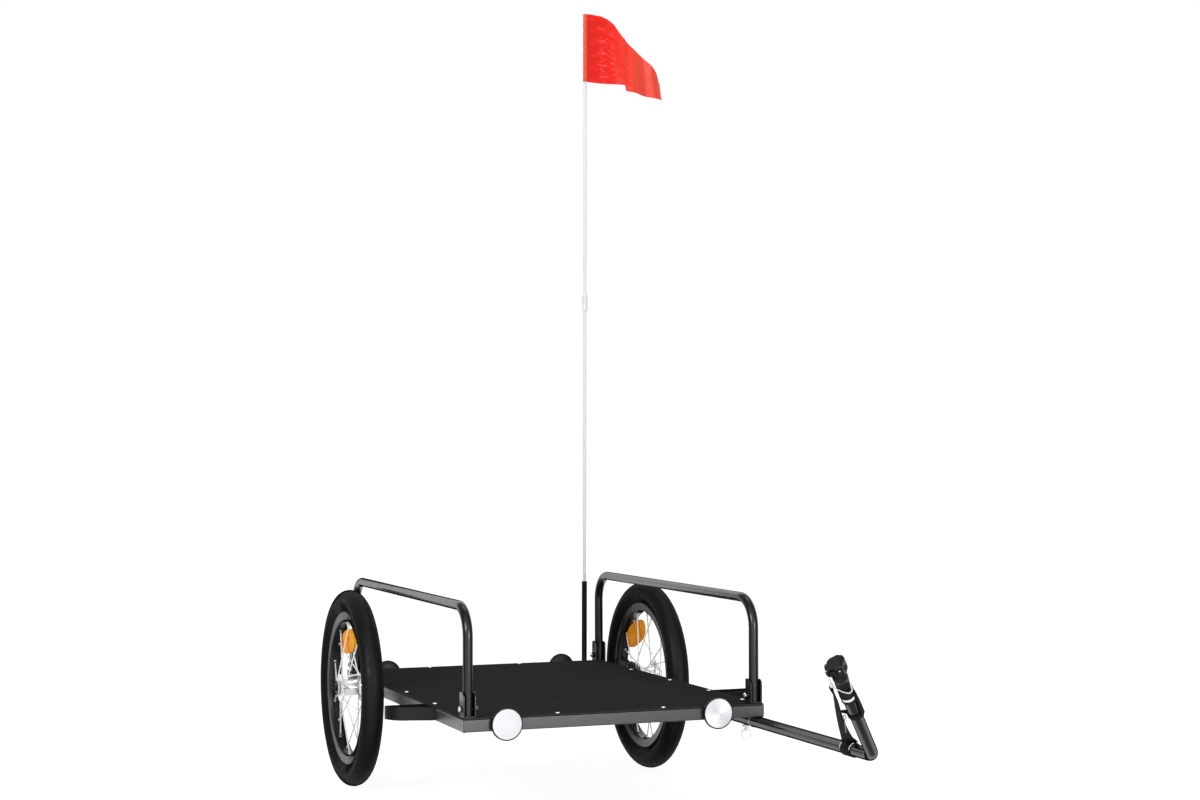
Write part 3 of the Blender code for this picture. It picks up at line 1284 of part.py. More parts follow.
def build_mast(root):
    """The holder on the rear beam, the two-piece pole that lifts out of it, and the flag."""
    lean = Matrix.Rotation(MAST_LEAN, 3, "Y")
    mast = empty_at("mast_line", (MAST_X, MAST_Y, 0), root, lean)
    holder_profile = [
        (0.0, HOLDER_BOTTOM_Z),
        (HOLDER_RADIUS, HOLDER_BOTTOM_Z),
        (HOLDER_RADIUS, HOLDER_TOP_Z),
        (POLE_BORE, HOLDER_TOP_Z),
        (POLE_BORE, HOLDER_BOTTOM_Z + HOLDER_FLOOR),
        (0.0, HOLDER_BOTTOM_Z + HOLDER_FLOOR),
    ]
    holder = turned_mesh("flag_holder", holder_profile, False)
    place(holder, "black_plastic", mast)
    tab_depth = MAST_Y - FRAME_REAR_Y - GAP - POLE_BORE
    tab_middle = -(MAST_Y - FRAME_REAR_Y - GAP) + tab_depth / 2
    tab = box_mesh("holder_tab", (HOLDER_TAB_WIDTH, tab_depth, HOLDER_TAB_HEIGHT))
    place_cutter(tab, mast, (0, tab_middle, FRAME_BOTTOM_Z + BEAM_SIZE / 2))
    join(holder, tab)
    lift = empty_at("pole_lift", (0, 0, HOLDER_BOTTOM_Z + HOLDER_FLOOR + GAP), mast)
    base = HOLDER_BOTTOM_Z + HOLDER_FLOOR + GAP
    joint = FERRULE_Z - base
    lower = [(0.0, 0.0), (POLE_RADIUS, 0.0), (POLE_RADIUS, joint - GAP), (0.0, joint - GAP)]
    place(turned_mesh("flag_pole_lower", lower, False, PIN_STEPS), "white_fibreglass", lift)
    top = POLE_TOP_Z - base
    upper = [(0.0, joint), (POLE_RADIUS, joint), (POLE_RADIUS, top), (0.0, top)]
    place(turned_mesh("flag_pole_upper", upper, False, PIN_STEPS), "white_fibreglass", lift)
    half = FERRULE_LENGTH / 2
    bore = POLE_RADIUS + GAP
    sleeve = [
        (bore, joint + half),
        (FERRULE_RADIUS, joint + half),
        (FERRULE_RADIUS, joint - half),
        (bore, joint - half),
    ]
    place(turned_mesh("pole_ferrule", sleeve, True), "white_fibreglass", lift)
    hem = [
        (bore, FLAG_TOP_Z - base),
        (FLAG_HEM_RADIUS, FLAG_TOP_Z - base),
        (FLAG_HEM_RADIUS, FLAG_BOTTOM_Z - base),
        (bore, FLAG_BOTTOM_Z - base),
    ]
    flag = turned_mesh("flag", hem, True, PIN_STEPS)
    place(flag, "red_cloth", lift)
    sheet = place_cutter(flag_sheet("flag_sheet"), lift, (0, 0, -base))
    join(flag, sheet)


def build_trailer():
    clear_scene()
    root = empty_at("trailer_root", -BOX_CENTRE)
    build_frame(root)
    build_wheel_sides(root)
    build_hoops(root)
    build_reflectors(root)
    build_tow_arm(root)
    build_coupler(root)
    build_tie(root)
    build_strap(root)
    build_mast(root)


build_trailer()
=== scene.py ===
"""The looks of a two-wheel bicycle trailer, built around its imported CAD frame.

Metres, +Z up. The trailer's front looks along -Y and its left side is +X. Places are given in trailer
coordinates, whose zero is on the ground, midway between the wheels and under their axles.
"""

import json
import random
from math import copysign, cos, exp, pi, radians, sin, sqrt, tan, tanh

import bmesh
import bpy
from mathutils import Matrix, Vector


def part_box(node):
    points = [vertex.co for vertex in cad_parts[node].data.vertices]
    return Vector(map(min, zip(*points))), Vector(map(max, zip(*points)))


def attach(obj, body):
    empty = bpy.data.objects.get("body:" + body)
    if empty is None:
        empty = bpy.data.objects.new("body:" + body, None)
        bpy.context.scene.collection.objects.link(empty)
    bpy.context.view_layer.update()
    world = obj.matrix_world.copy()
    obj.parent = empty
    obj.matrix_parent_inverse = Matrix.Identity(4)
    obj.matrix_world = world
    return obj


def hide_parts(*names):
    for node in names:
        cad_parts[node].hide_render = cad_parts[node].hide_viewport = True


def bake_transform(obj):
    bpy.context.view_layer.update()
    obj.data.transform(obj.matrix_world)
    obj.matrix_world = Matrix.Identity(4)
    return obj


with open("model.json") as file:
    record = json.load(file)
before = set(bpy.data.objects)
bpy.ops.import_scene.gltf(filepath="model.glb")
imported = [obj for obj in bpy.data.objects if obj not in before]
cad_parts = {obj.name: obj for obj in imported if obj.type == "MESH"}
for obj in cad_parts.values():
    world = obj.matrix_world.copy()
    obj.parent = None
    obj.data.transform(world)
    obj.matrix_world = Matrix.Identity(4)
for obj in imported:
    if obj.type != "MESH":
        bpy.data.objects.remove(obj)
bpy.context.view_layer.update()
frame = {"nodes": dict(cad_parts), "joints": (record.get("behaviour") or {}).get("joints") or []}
NODES = frame["nodes"]
JOINTS = {joint["name"]: joint for joint in frame["joints"]}
SIDES = {"left": 1, "right": -1}
ENDS = ("front", "rear")
X_AXIS, Y_AXIS, Z_AXIS = Vector((1, 0, 0)), Vector((0, 1, 0)), Vector((0, 0, 1))

# Trailer coordinates, from the wheels' hinges
HUBS = {side: Vector(JOINTS[f"wheel_{side}_spin"]["pos_m"]) for side in SIDES}
ORIGIN = Vector(((HUBS["left"].x + HUBS["right"].x) / 2, HUBS["left"].y, 0.0))
WHEEL_RADIUS = HUBS["left"].z

# Camera, fitted to the photograph
CAMERA_PLACE = (-1.3296, -4.0640, 0.6826)
CAMERA_LOOK = (0.3565, 0.9339, 0.0274)
CAMERA_ROLL = -0.0021
CAMERA_LENS = 60.35
CAMERA_SENSOR = 36.0
CAMERA_SHIFT_Y = -0.0024
CAMERA_RANGE = (0.05, 60.0)

# Stage
FLOOR_REACH = 14.0
FLOOR_GLOW = 1.2
FLOOR_GLOW_SHARE = 0.78
WORLD_STRENGTH = 0.45

# Frame
FRAME_WIDTH = 0.583
FRAME_FRONT_Y = -0.668
FRAME_REAR_Y = 0.183
FRAME_BOTTOM_Z = 0.1909
BEAM_SIZE = 0.022
BEAM_WALL = 0.0015
BEAM_CORNER = 0.0018
MITRE_GAP = 0.0003
WELD_RADIUS = 0.0009
WELD_SPREAD = 0.0002
DECK_TOP_Z = 0.2157
SCREW_RADIUS = 0.0042
SCREW_HEIGHT = 0.0017
SIDE_SCREW_Y = (-0.445, -0.249, -0.035)
END_SCREW_X = (-0.111, 0.0945)
CORNER_SCREW_Y = -0.600
SCREW_INSET = 0.013
RECESS_LENGTH = 0.0038
RECESS_WIDTH = 0.0008

# Wheels
TYRE_RADIUS = 0.022
TYRE_SIDE_DEGREES = (55, 62, 72, 84, 98, 112, 125)
TREAD_DEGREES = 52
TREAD_STEP_DEGREES = 4
TREAD_HALF_ANGLE = radians(TREAD_DEGREES)
TREAD_DEPTH = 0.0004
TREAD_BLOCKS = 60
STEPS_PER_BLOCK = 6
GROOVE_AT = radians(15)
GROOVE_HALF = radians(5)
SIPE_FROM = radians(18)
SIPE_SHARE = 0.34
SIPE_SLANT = 1.1
TREAD_FADE = radians(9)
MOULD_LINE_DEGREES = (66, 104, 116)
MOULD_LINE_RADIUS = 0.00045
BEAD_RADIUS = 0.1445
BEAD_INSET = 0.0029
RIM_INNER_RADIUS = 0.137
RIM_TIP_RADIUS = 0.1555
RIM_HALF_WIDTH = 0.0135
HUB_HALF_WIDTH = 0.0245
HUB_FLANGE_RADIUS = 0.0285
HUB_BARREL_RADIUS = 0.0185
SPOKE_COUNT = 20
SPOKE_RADIUS = 0.0014
SPOKE_LACING = radians(52)
SPOKE_HOLE_INSET = 0.0045
SPOKE_RIM_OFFSET = 0.0022
SPOKE_ELBOW = 0.0036
FLANGE_MIDDLE = 0.0215
NIPPLE_RADIUS = 0.0021
NIPPLE_LENGTH = 0.011
VALVE_ANGLE = pi * 11 / SPOKE_COUNT
REFLECTOR_RISE = {"left": 0.102, "right": 0.0945}
REFLECTOR_TURN = {"left": radians(35), "right": radians(-9)}
REFLECTOR_LEAN = {"left": radians(12), "right": 0.0}
REFLECTOR_LENGTH = 0.103
REFLECTOR_HEIGHT = 0.049
REFLECTOR_THICKNESS = 0.0064
REFLECTOR_ROUNDNESS = 0.8
RIB_OFFSET = 0.0045
RIB_WIDTH = 0.0016
RIB_RISE = 0.0004

# Hoops and their feet
HOOP_X = 0.278
HOOP_FRONT_Y = -0.652
HOOP_REAR_Y = 0.158
HOOP_TOP_Z = 0.409
HOOP_RADIUS = 0.009
HOOP_BEND = 0.055
HOOP_FOOT_Z = 0.2188
BRACKET_WALL = 0.0025
BRACKET_CORNER = 0.010

# Tow arm, its strap, and places along the rising tube from the elbow
ARM_X = 0.285
ARM_REAR_Y = -0.440
ARM_RADIUS = 0.0109
ARM_Z = 0.1797
ELBOW_Y = -1.0986
ELBOW_BEND = 0.030
RING_WIRE = 0.0011
LANYARD_Y = -0.640
THIN_WIRE = 0.0006
WRAP_Y = ELBOW_Y + 0.078
WRAP_HALF = 0.0160
BALL_RADIUS = 0.009
BALL_STATION = 0.2095
PIN_STATION = 0.258
ARM_END = 0.171
COLLAR_END = 0.1868
SLEEVE_END = 0.238
BOOT_LOW = COLLAR_END + 0.0004
BOOT_END = 0.2025
BOOT_RIBS = 4
STEPS_PER_RIB = 8
TIE_STATION = 0.130
FLAP_LOW = TIE_STATION - 0.0050
FLAP_TOP = TIE_STATION + 0.0630
FLAP_HALF = 0.0062
PIN_HALF = 0.0184
BAIL_HALF = 0.0171
BAIL_EYE = 0.0035
BAIL_WIRE = 0.0010
BAIL_BEND = 0.004
TETHER_WIRE = 0.0007
STRAP_THICKNESS = 0.0026
STRAP_HALF_AT_HITCH = 0.0035
STRAP_HALF_AT_ARM = 0.0140
STRAP_TWIST = radians(75)
STRAP_ASIDE = Vector((0.0070, -0.0027, 0.0))
STRAP_FROM_ELBOW = (
    (-0.1269, -0.0929, 0.1136), (-0.0962, -0.0474, 0.0803), (-0.0654, -0.0022, 0.0513),
    (-0.0347, 0.0432, 0.0288), (-0.0170, 0.0696, 0.0188),
)

# Flag mast
MAST_X = 0.2545
MAST_Y = 0.1905
MAST_LEAN = radians(0.21)
POLE_RADIUS = 0.0036
POLE_FOOT_Z = 0.1983
FERRULE_Z = 1.020
POLE_TOP_Z = 1.678

# Flag: its edges by distance from the pole and height
FLAG_TOP_EDGE = (
    (0.0, 1.6772), (0.0175, 1.6781), (0.0400, 1.6772), (0.0575, 1.6709), (0.0725, 1.6600),
    (0.0825, 1.6440), (0.0900, 1.6320), (0.1100, 1.6098), (0.1400, 1.5888), (0.1650, 1.5698),
    (0.1800, 1.5551), (0.1915, 1.5320), (0.1975, 1.4985),
)
FLAG_BOTTOM_EDGE = (
    (0.0, 1.5229), (0.0490, 1.5217), (0.0945, 1.5205), (0.1000, 1.5073), (0.1515, 1.5016),
    (0.1975, 1.4960),
)
FLAG_START = 0.0046
FLAG_REACH = 0.1975
FLAG_FOLD = 0.49
FLAG_COLUMNS = 96
FLAG_ROWS = 64
CLOTH_THICKNESS = 0.0004
HEM_RADIUS = 0.0049
HEM_ROWS = 24


def at(x, y, z):
    """A point given in trailer coordinates, in the frame's own."""
    return ORIGIN + Vector((x, y, z))


def shift(x, y, z):
    return Matrix.Translation((x, y, z))


def spin(angle, axis):
    return Matrix.Rotation(angle, 4, axis)


# Materials


def grey(level):
    return (level, level, level)


def scaled(colour, factor):
    return tuple(factor * value for value in colour)


def set_inputs(tree, node, values):
    """Give each named socket its value, or a link where the value is another node's output."""
    for socket, value in values.items():
        if isinstance(value, bpy.types.NodeSocket):
            tree.links.new(value, node.inputs[socket])
        else:
            node.inputs[socket].default_value = value


def new_node(tree, kind, values):
    node = tree.nodes.new("ShaderNode" + kind)
    set_inputs(tree, node, values)
    return node


def shader_parts(name, colour, roughness, metallic=0.0):
    material = bpy.data.materials.new(name)
    material.use_nodes = True
    tree = material.node_tree
    shader = tree.nodes["Principled BSDF"]
    base = {"Base Color": (*colour, 1.0), "Roughness": roughness, "Metallic": metallic}
    set_inputs(tree, shader, base)
    material.diffuse_color = (*colour, 1.0)
    return material, tree, shader


def object_coords(tree, stretch=(1, 1, 1)):
    coords = tree.nodes.new("ShaderNodeTexCoord")
    mapping = new_node(tree, "Mapping", {"Vector": coords.outputs["Object"], "Scale": stretch})
    return mapping.outputs["Vector"]


def noise(tree, scale, detail=3.0, stretch=(1, 1, 1), distortion=0.0):
    place = object_coords(tree, stretch)
    values = {"Scale": scale, "Detail": detail, "Distortion": distortion, "Vector": place}
    return new_node(tree, "TexNoise", values).outputs["Fac"]


def ranged(tree, value, low, high, start=0.3, stop=0.7):
    values = {"Value": value, "From Min": start, "From Max": stop, "To Min": low, "To Max": high}
    return new_node(tree, "MapRange", values).outputs["Result"]


def blended(tree, factor, first, second):
    node = tree.nodes.new("ShaderNodeMix")
    node.data_type = "RGBA"
    set_inputs(tree, node, {"Factor": factor, "A": (*first, 1.0), "B": (*second, 1.0)})
    return node.outputs["Result"]


def maths(tree, operation, first, second):
    node = new_node(tree, "Math", {0: first, 1: second})
    node.operation = operation
    return node.outputs["Value"]


def add_bump(tree, shader, height, distance, strength):
    bump = new_node(tree, "Bump", {"Height": height, "Distance": distance, "Strength": strength})
    tree.links.new(bump.outputs["Normal"], shader.inputs["Normal"])


def waves(tree, scale, direction, distortion=0.0):
    values = {"Scale": scale, "Distortion": distortion, "Vector": object_coords(tree)}
    node = new_node(tree, "TexWave", values)
    node.bands_direction = direction
    return node.outputs["Fac"]


def facing_gloss(tree, shader, front, slant=0.0, turned_away=0.63):
    """Gloss by how far the surface turns away: one level face-on, one at a slant, none at its edge."""
    weight = new_node(tree, "LayerWeight", {"Blend": 0.5})
    ramp = new_node(tree, "ValToRGB", {"Fac": weight.outputs["Facing"]})
    ramp.color_ramp.interpolation = "EASE"
    faded = 0.15 * front
    stops = [(0.0, front), (0.26, faded), (turned_away - 0.09, faded)]
    stops += [(turned_away, slant), (turned_away + 0.07, slant), (turned_away + 0.19, 0.0)]
    while len(ramp.color_ramp.elements) < len(stops):
        ramp.color_ramp.elements.new(0.5)
    for element, (place, level) in zip(ramp.color_ramp.elements, stops):
        element.position = place
        element.color = (*grey(level), 1.0)
    shader.inputs["Specular IOR Level"].default_value = 0.5 * front
    tree.links.new(ramp.outputs["Color"], shader.inputs["Specular IOR Level"])


# Finishes: tone factors, tone noise, roughness spread, roughness noise, bump noise, bump depth and strength
ENAMEL = ((0.75, 1.3), (14.0, 4.0), (-0.04, 0.06), (60.0, 5.0), (520.0, 2.0), (0.00002, 0.06))
PLASTIC = ((0.75, 1.35), (30.0, 4.0), (-0.07, 0.09), (90.0, 4.0), (1400.0, 2.0), (0.0001, 0.6))
BLOOMED = ((1.0, 1.7), (22.0, 6.0, (1, 1, 1), 0.4), (-0.1, 0.12), (130.0, 4.0), (900.0, 3.0), (0.00015, 0.6))


def mottled_material(name, colour, roughness, finish, metallic=0.0):
    """A surface whose tone and roughness wander in noise, over a fine bump."""
    tones, cloud, spread, grain, pores, bump = finish
    material, tree, shader = shader_parts(name, colour, roughness, metallic)
    set_inputs(tree, shader, {
        "Base Color": blended(tree, noise(tree, *cloud), *(scaled(colour, tone) for tone in tones)),
        "Roughness": ranged(tree, noise(tree, *grain), *(roughness + part for part in spread)),
    })
    add_bump(tree, shader, noise(tree, *pores), *bump)
    return material, tree, shader


def paint_material(name, tone, gloss, roughness, coat=0.0, slant=1.0, turned_away=0.63):
    """Stoved black enamel with a faint orange peel and an uneven sheen."""
    material, tree, shader = mottled_material(name, grey(tone), roughness, ENAMEL)
    set_inputs(tree, shader, {"IOR": 1.7, "Coat Weight": coat, "Coat Roughness": 0.2})
    facing_gloss(tree, shader, gloss, slant, turned_away)
    return material


def moulded_material(name, tone, roughness, gloss, slant, finish):
    """Satin black plastic with a spark-eroded grain, or matt rubber with a dusty bloom."""
    material, tree, shader = mottled_material(name, grey(tone), roughness, finish)
    facing_gloss(tree, shader, gloss, slant)
    return material


def metal_material(name, colour, low, high, metallic=1.0):
    """Plated steel whose roughness and tone wander a little."""
    middle = (low + high) / 2
    spread = (low - middle, high - middle)
    finish = ((0.86, 1.0), (40.0, 5.0), spread, (180.0, 4.0), (600.0, 3.0), (0.00005, 0.4))
    return mottled_material(name, colour, middle, finish, metallic)[0]


def deck_material():
    """Black deck board with a fine pebbled grain and faint wear."""
    material, tree, shader = shader_parts("deck_grain", grey(0.02), 0.62)
    cloud = noise(tree, 6.0, 5.0, distortion=0.6)
    set_inputs(tree, shader, {
        "Base Color": blended(tree, cloud, grey(0.018), grey(0.026)),
        "Roughness": ranged(tree, noise(tree, 240.0, 3.0), 0.52, 0.74),
    })
    facing_gloss(tree, shader, 0.3, 0.05)
    cells = new_node(tree, "TexVoronoi", {"Scale": 620.0, "Vector": object_coords(tree)})
    add_bump(tree, shader, cells.outputs["Distance"], distance=0.00035, strength=0.7)
    return material


def lens_material(name, bright, deep, pitch, clear=0.0, patch=0.0):
    """A reflector lens: fine corner-cube prisms under a smooth skin, clear enough to glow."""
    material, tree, shader = shader_parts(name, bright, 0.2)
    cells = new_node(tree, "TexVoronoi", {"Scale": pitch, "Randomness": 0.12, "Vector": object_coords(tree)})
    cells.feature = "F1"
    cells.distance = "MANHATTAN"
    depth = cells.outputs["Distance"]
    facet = ranged(tree, depth, 0.0, 1.0, 0.1, 0.75)
    if patch:
        cloud = ranged(tree, noise(tree, patch, 2.0), 0.0, 1.0)
        facet = maths(tree, "ADD", maths(tree, "MULTIPLY", facet, 0.4), maths(tree, "MULTIPLY", cloud, 0.6))
    set_inputs(tree, shader, {
        "Base Color": blended(tree, facet, bright, deep),
        "Roughness": ranged(tree, depth, 0.16, 0.3, 0.1, 0.75),
        "IOR": 1.3,
        "Transmission Weight": clear,
    })
    facing_gloss(tree, shader, 0.3, 0.02)
    add_bump(tree, shader, depth, distance=0.0004, strength=0.35)
    return material


def sector_reflection_material(centre):
    """The clear lens with a painted reflection: its colour shades from white to grey in sectors round the
    centre, for the light its prism sectors throw back.
    """
    material = WHITE_LENS.copy()
    material.name = "clear_prisms_painted_reflection"
    tree = material.node_tree
    coords = tree.nodes.new("ShaderNodeTexCoord")
    mapping = new_node(tree, "Mapping", {
        "Vector": coords.outputs["Object"],
        "Location": (-centre.x, centre.z, 0.0),
        "Rotation": (pi / 2, 0.0, 0.0),
    })
    turn = new_node(tree, "TexGradient", {"Vector": mapping.outputs["Vector"]})
    turn.gradient_type = "RADIAL"
    # Painted reflection: light and grey sectors alternate round the lens's centre
    wave = maths(tree, "SINE", maths(tree, "MULTIPLY", turn.outputs["Fac"], 4 * pi), 0.0)
    tone = blended(tree, ranged(tree, wave, 0.0, 1.0, -1.0, 1.0), (0.92, 0.92, 0.93), (0.68, 0.68, 0.70))
    tree.links.new(tone, tree.nodes["Principled BSDF"].inputs["Base Color"])
    return material


def pole_material():
    """White pultruded fibreglass with faint lengthwise fibres."""
    material, tree, shader = shader_parts("white_rod", (0.72, 0.72, 0.71), 0.35)
    fibres = noise(tree, 260.0, 4.0, (1.0, 1.0, 0.02))
    set_inputs(tree, shader, {
        "Base Color": blended(tree, fibres, (0.66, 0.66, 0.65), (0.76, 0.76, 0.75)),
        "Roughness": ranged(tree, fibres, 0.28, 0.42),
    })
    add_bump(tree, shader, fibres, distance=0.0001, strength=0.4)
    return material


def flag_material(name, left, right):
    """Thin glossy nylon with a fine plain weave. Its colour is deeper red by the pole and lighter past the
    fold: painted light, for the panel beyond the fold that faces the lamps.
    """
    material, tree, shader = shader_parts(name, left, 0.36)
    coords = new_node(tree, "SeparateXYZ", {"Vector": object_coords(tree)})
    mast_x = ORIGIN.x + MAST_X
    # Painted light: the colour blends from the deep red to the lighter red across the fold
    across = ranged(tree, coords.outputs["X"], 0.0, 1.0, mast_x + 0.07, mast_x + 0.13)
    cloud = ranged(tree, noise(tree, 18.0, 4.0, distortion=0.5), 0.8, 1.0)
    set_inputs(tree, shader, {
        "Base Color": blended(tree, maths(tree, "MULTIPLY", cloud, across), left, right),
        "Roughness": ranged(tree, noise(tree, 70.0, 3.0), 0.2, 0.32),
        "Specular IOR Level": 0.2,
    })
    weave = maths(tree, "MAXIMUM", waves(tree, 260.0, "X"), waves(tree, 260.0, "Z"))
    add_bump(tree, shader, weave, distance=0.00012, strength=0.35)
    return material


def webbing_material(name, colour, sheen=0.0):
    """Woven polyester webbing with ribs across it."""
    material, tree, shader = shader_parts(name, colour, 0.72)
    weave = maths(tree, "MULTIPLY", waves(tree, 150.0, "Y", 0.6), waves(tree, 240.0, "X", 0.4))
    set_inputs(tree, shader, {
        "Base Color": blended(tree, weave, colour, scaled(colour, 2.2)),
        "Sheen Weight": sheen,
        "Specular IOR Level": 0.06,
    })
    add_bump(tree, shader, weave, distance=0.0005, strength=0.8)
    return material


PAINT = paint_material("black_enamel", 0.006, 0.32, 0.24, slant=0.85)
ARM_PAINT = paint_material("arm_enamel", 0.006, 0.31, 0.2, slant=0.4, turned_away=0.53)
# Painted light: the beams' enamel is a lit copy of the same black enamel, with a tone twice as light and a
# coat, for the reflections on their flat faces
LIT_BEAM_PAINT = paint_material("beam_enamel_lit_copy", 0.012, 0.62, 0.4, coat=0.25)
DECK = deck_material()
MOULDING = moulded_material("black_moulding", 0.007, 0.4, 0.25, 0.25, PLASTIC)
HEAD_MOULDING = moulded_material("hitch_moulding", 0.010, 0.46, 0.3, 0.25, PLASTIC)
RIM_BLACK = moulded_material("rim_enamel", 0.008, 0.22, 0.4, 0.28, PLASTIC)
TYRE = moulded_material("tyre_rubber_matt", 0.006, 0.45, 0.14, 0.02, BLOOMED)
RUBBER = moulded_material("boot_rubber", 0.012, 0.5, 0.14, 0.02, BLOOMED)
CHROME = metal_material("bright_plate", (0.84, 0.85, 0.86), 0.14, 0.28, 0.8)
SPOKE_STEEL = metal_material("spoke_steel", (0.92, 0.92, 0.93), 0.2, 0.34, 0.3)
ZINC = metal_material("zinc_plate", (0.66, 0.67, 0.69), 0.26, 0.42)
DARK_STEEL = metal_material("dark_steel", grey(0.04), 0.3, 0.45)
BOLT_STEEL = metal_material("bolt_steel", (0.30, 0.30, 0.31), 0.3, 0.45)
COLLAR_STEEL = metal_material("collar_steel", grey(0.90), 0.3, 0.42)
WHITE_LENS = lens_material("clear_prisms", (0.93, 0.93, 0.94), (0.72, 0.73, 0.75), 340.0)
RED_LENS = lens_material("red_prisms", (0.62, 0.012, 0.010), (0.20, 0.002, 0.002), 340.0)
AMBER_LENS = lens_material("amber_prisms", (1.0, 0.62, 0.016), (0.95, 0.27, 0.001), 300.0, 0.22, 60.0)
ROD = pole_material()
# The lighter second colour is painted light on the panel past the fold, not a second dye
NYLON = flag_material("signal_nylon_lit_tip", (0.80, 0.014, 0.008), (0.86, 0.066, 0.034))
# Painted light: the hem's lighter red stands for the white pole glowing through the thin sleeve
HEM_NYLON = flag_material("hem_nylon_painted_light", (0.78, 0.075, 0.045), (0.78, 0.075, 0.045))
WEBBING = webbing_material("black_web", grey(0.006))
STITCH = webbing_material("pale_thread", grey(0.75), sheen=0.06)

# The record's slot for each material
SLOTS = {
    "black_paint": [PAINT, ARM_PAINT, LIT_BEAM_PAINT, RIM_BLACK],
    "black_plastic": [MOULDING, HEAD_MOULDING],
    "tyre_rubber": [TYRE],
    "black_rubber": [RUBBER],
    "bright_steel": [CHROME, SPOKE_STEEL, DARK_STEEL, COLLAR_STEEL],
    "zinc_steel": [ZINC, BOLT_STEEL],
    "white_lens": [WHITE_LENS],
    "red_lens": [RED_LENS],
    "amber_lens": [AMBER_LENS],
    "white_fibreglass": [ROD],
    "red_cloth": [NYLON, HEM_NYLON],
    "black_webbing": [WEBBING, STITCH],
}

# CAD nodes of each wheel side that keep their shape, with the width of their softened edges
WHEEL_SIDE_NODES = (
    ("wheel_guard", MOULDING, 0.0012), ("axle_receiver", PAINT, 0.0008), ("axle", CHROME, 0.0),
    ("axle_button", MOULDING, 0.0004), ("hub_bush", ZINC, 0.0),
)


# Mesh helpers


def add_object(name, data, place=None):
    item = bpy.data.objects.new(name, data)
    bpy.context.scene.collection.objects.link(item)
    if place:
        item.matrix_world = place
    return item


def finish_piece(name, shape, material, body, replaced=(), angle=38.0, slot=None):
    """Turn a bmesh into a piece with its material and body. A bending piece has no body."""
    slot = slot or next(slot for slot, group in SLOTS.items() if material in group)
    bmesh.ops.remove_doubles(shape, verts=shape.verts, dist=0.0000005)
    bmesh.ops.recalc_face_normals(shape, faces=shape.faces)
    mesh = bpy.data.meshes.new(name)
    shape.to_mesh(mesh)
    shape.free()
    mesh.materials.append(material)
    mesh.shade_smooth()
    mesh.set_sharp_from_angle(angle=radians(angle))
    piece = add_object(name, mesh)
    if body:
        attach(piece, body)
    if replaced:
        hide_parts(*replaced)
    return piece


def bevelled(piece, width, segments=2, harden=True):
    bevel = piece.modifiers.new("edges", "BEVEL")
    bevel.width = width
    bevel.segments = segments
    bevel.limit_method = "ANGLE"
    bevel.angle_limit = radians(35)
    bevel.harden_normals = harden


def softened_node(name, material, width=0.0):
    """A CAD node that keeps its shape, with a finer finish and softened edges."""
    node = NODES[name]
    node.data.materials.clear()
    node.data.materials.append(material)
    flat_normals = node.data.attributes.get("custom_normal")
    if flat_normals:
        node.data.attributes.remove(flat_normals)
    node.data.shade_smooth()
    joined = node.modifiers.new("joined", "WELD")
    joined.merge_threshold = 0.000004
    if width:
        flat = node.modifiers.new("flat_faces", "DECIMATE")
        flat.decimate_type = "DISSOLVE"
        flat.angle_limit = radians(1.5)
        bevelled(node, width, harden=False)
        node.modifiers.new("even_sides", "WEIGHTED_NORMAL")
    else:
        crisp = node.modifiers.new("crisp_edges", "EDGE_SPLIT")
        crisp.split_angle = radians(30)


def circle(steps):
    """The cosine and sine of evenly spaced angles round a full turn."""
    angles = [2 * pi * step / steps for step in range(steps)]
    return [(cos(angle), sin(angle)) for angle in angles]


def add_ring(shape, points):
    return [shape.verts.new(point) for point in points]


def bridge(shape, first, second, closed=True):
    count = len(first)
    for index in range(count if closed else count - 1):
        after = (index + 1) % count
        corners = dict.fromkeys((first[index], first[after], second[after], second[index]))
        if len(corners) > 2:
            shape.faces.new(list(corners))


def skin(shape, rings, closed=False, capped=True):
    """Bridge each ring of points to the next, then join or cap the two ends."""
    for first, second in zip(rings, rings[1:]):
        bridge(shape, first, second)
    if closed:
        bridge(shape, rings[-1], rings[0])
    elif capped:
        shape.faces.new(rings[0])
        shape.faces.new(rings[-1])


def loft(shape, outlines, place, closed=False, capped=True):
    """Skin stacked outlines, whose points are in a matrix's own axes."""
    rings = [add_ring(shape, [place @ Vector(point) for point in outline]) for outline in outlines]
    skin(shape, rings, closed, capped)


def turned(shape, profile, place, steps, closed=False):
    """Turn (radius, height) points about the local Z axis of a matrix."""
    rings = []
    for radius, height in profile:
        if radius < 0.00001:
            rings.append(add_ring(shape, [place @ Vector((0, 0, height))]) * steps)
        else:
            points = [place @ Vector((radius * c, radius * s, height)) for c, s in circle(steps)]
            rings.append(add_ring(shape, points))
    skin(shape, rings, closed, capped=False)


def turned_piece(name, profile, place, steps, material, body, replaced=(), closed=False, angle=38.0):
    """A piece that is one turned profile."""
    shape = bmesh.new()
    turned(shape, profile, place, steps, closed)
    finish_piece(name, shape, material, body, replaced, angle)


def mirrored(half):
    """A profile with its mirror image below the middle, where a point on the middle isn't repeated."""
    return half + [(radius, -height) for radius, height in reversed(half) if height]


def rounded_path(corners, radius, steps=12):
    """The corners joined by straight runs, with each inner corner turned into an arc of the radius."""
    points = [Vector(corners[0])]
    for before, corner, after in zip(corners, corners[1:], corners[2:]):
        back = (before - corner).normalized()
        ahead = (after - corner).normalized()
        half = back.angle(ahead) / 2
        centre = corner + (back + ahead).normalized() * radius / sin(half)
        start = corner + back * radius / tan(half) - centre
        finish = corner + ahead * radius / tan(half) - centre
        sweep = start.angle(finish)
        for step in range(steps + 1):
            share = step / steps
            near = sin((1 - share) * sweep) / sin(sweep)
            far = sin(share * sweep) / sin(sweep)
            points.append(centre + start * near + finish * far)
    return points + [Vector(corners[-1])]


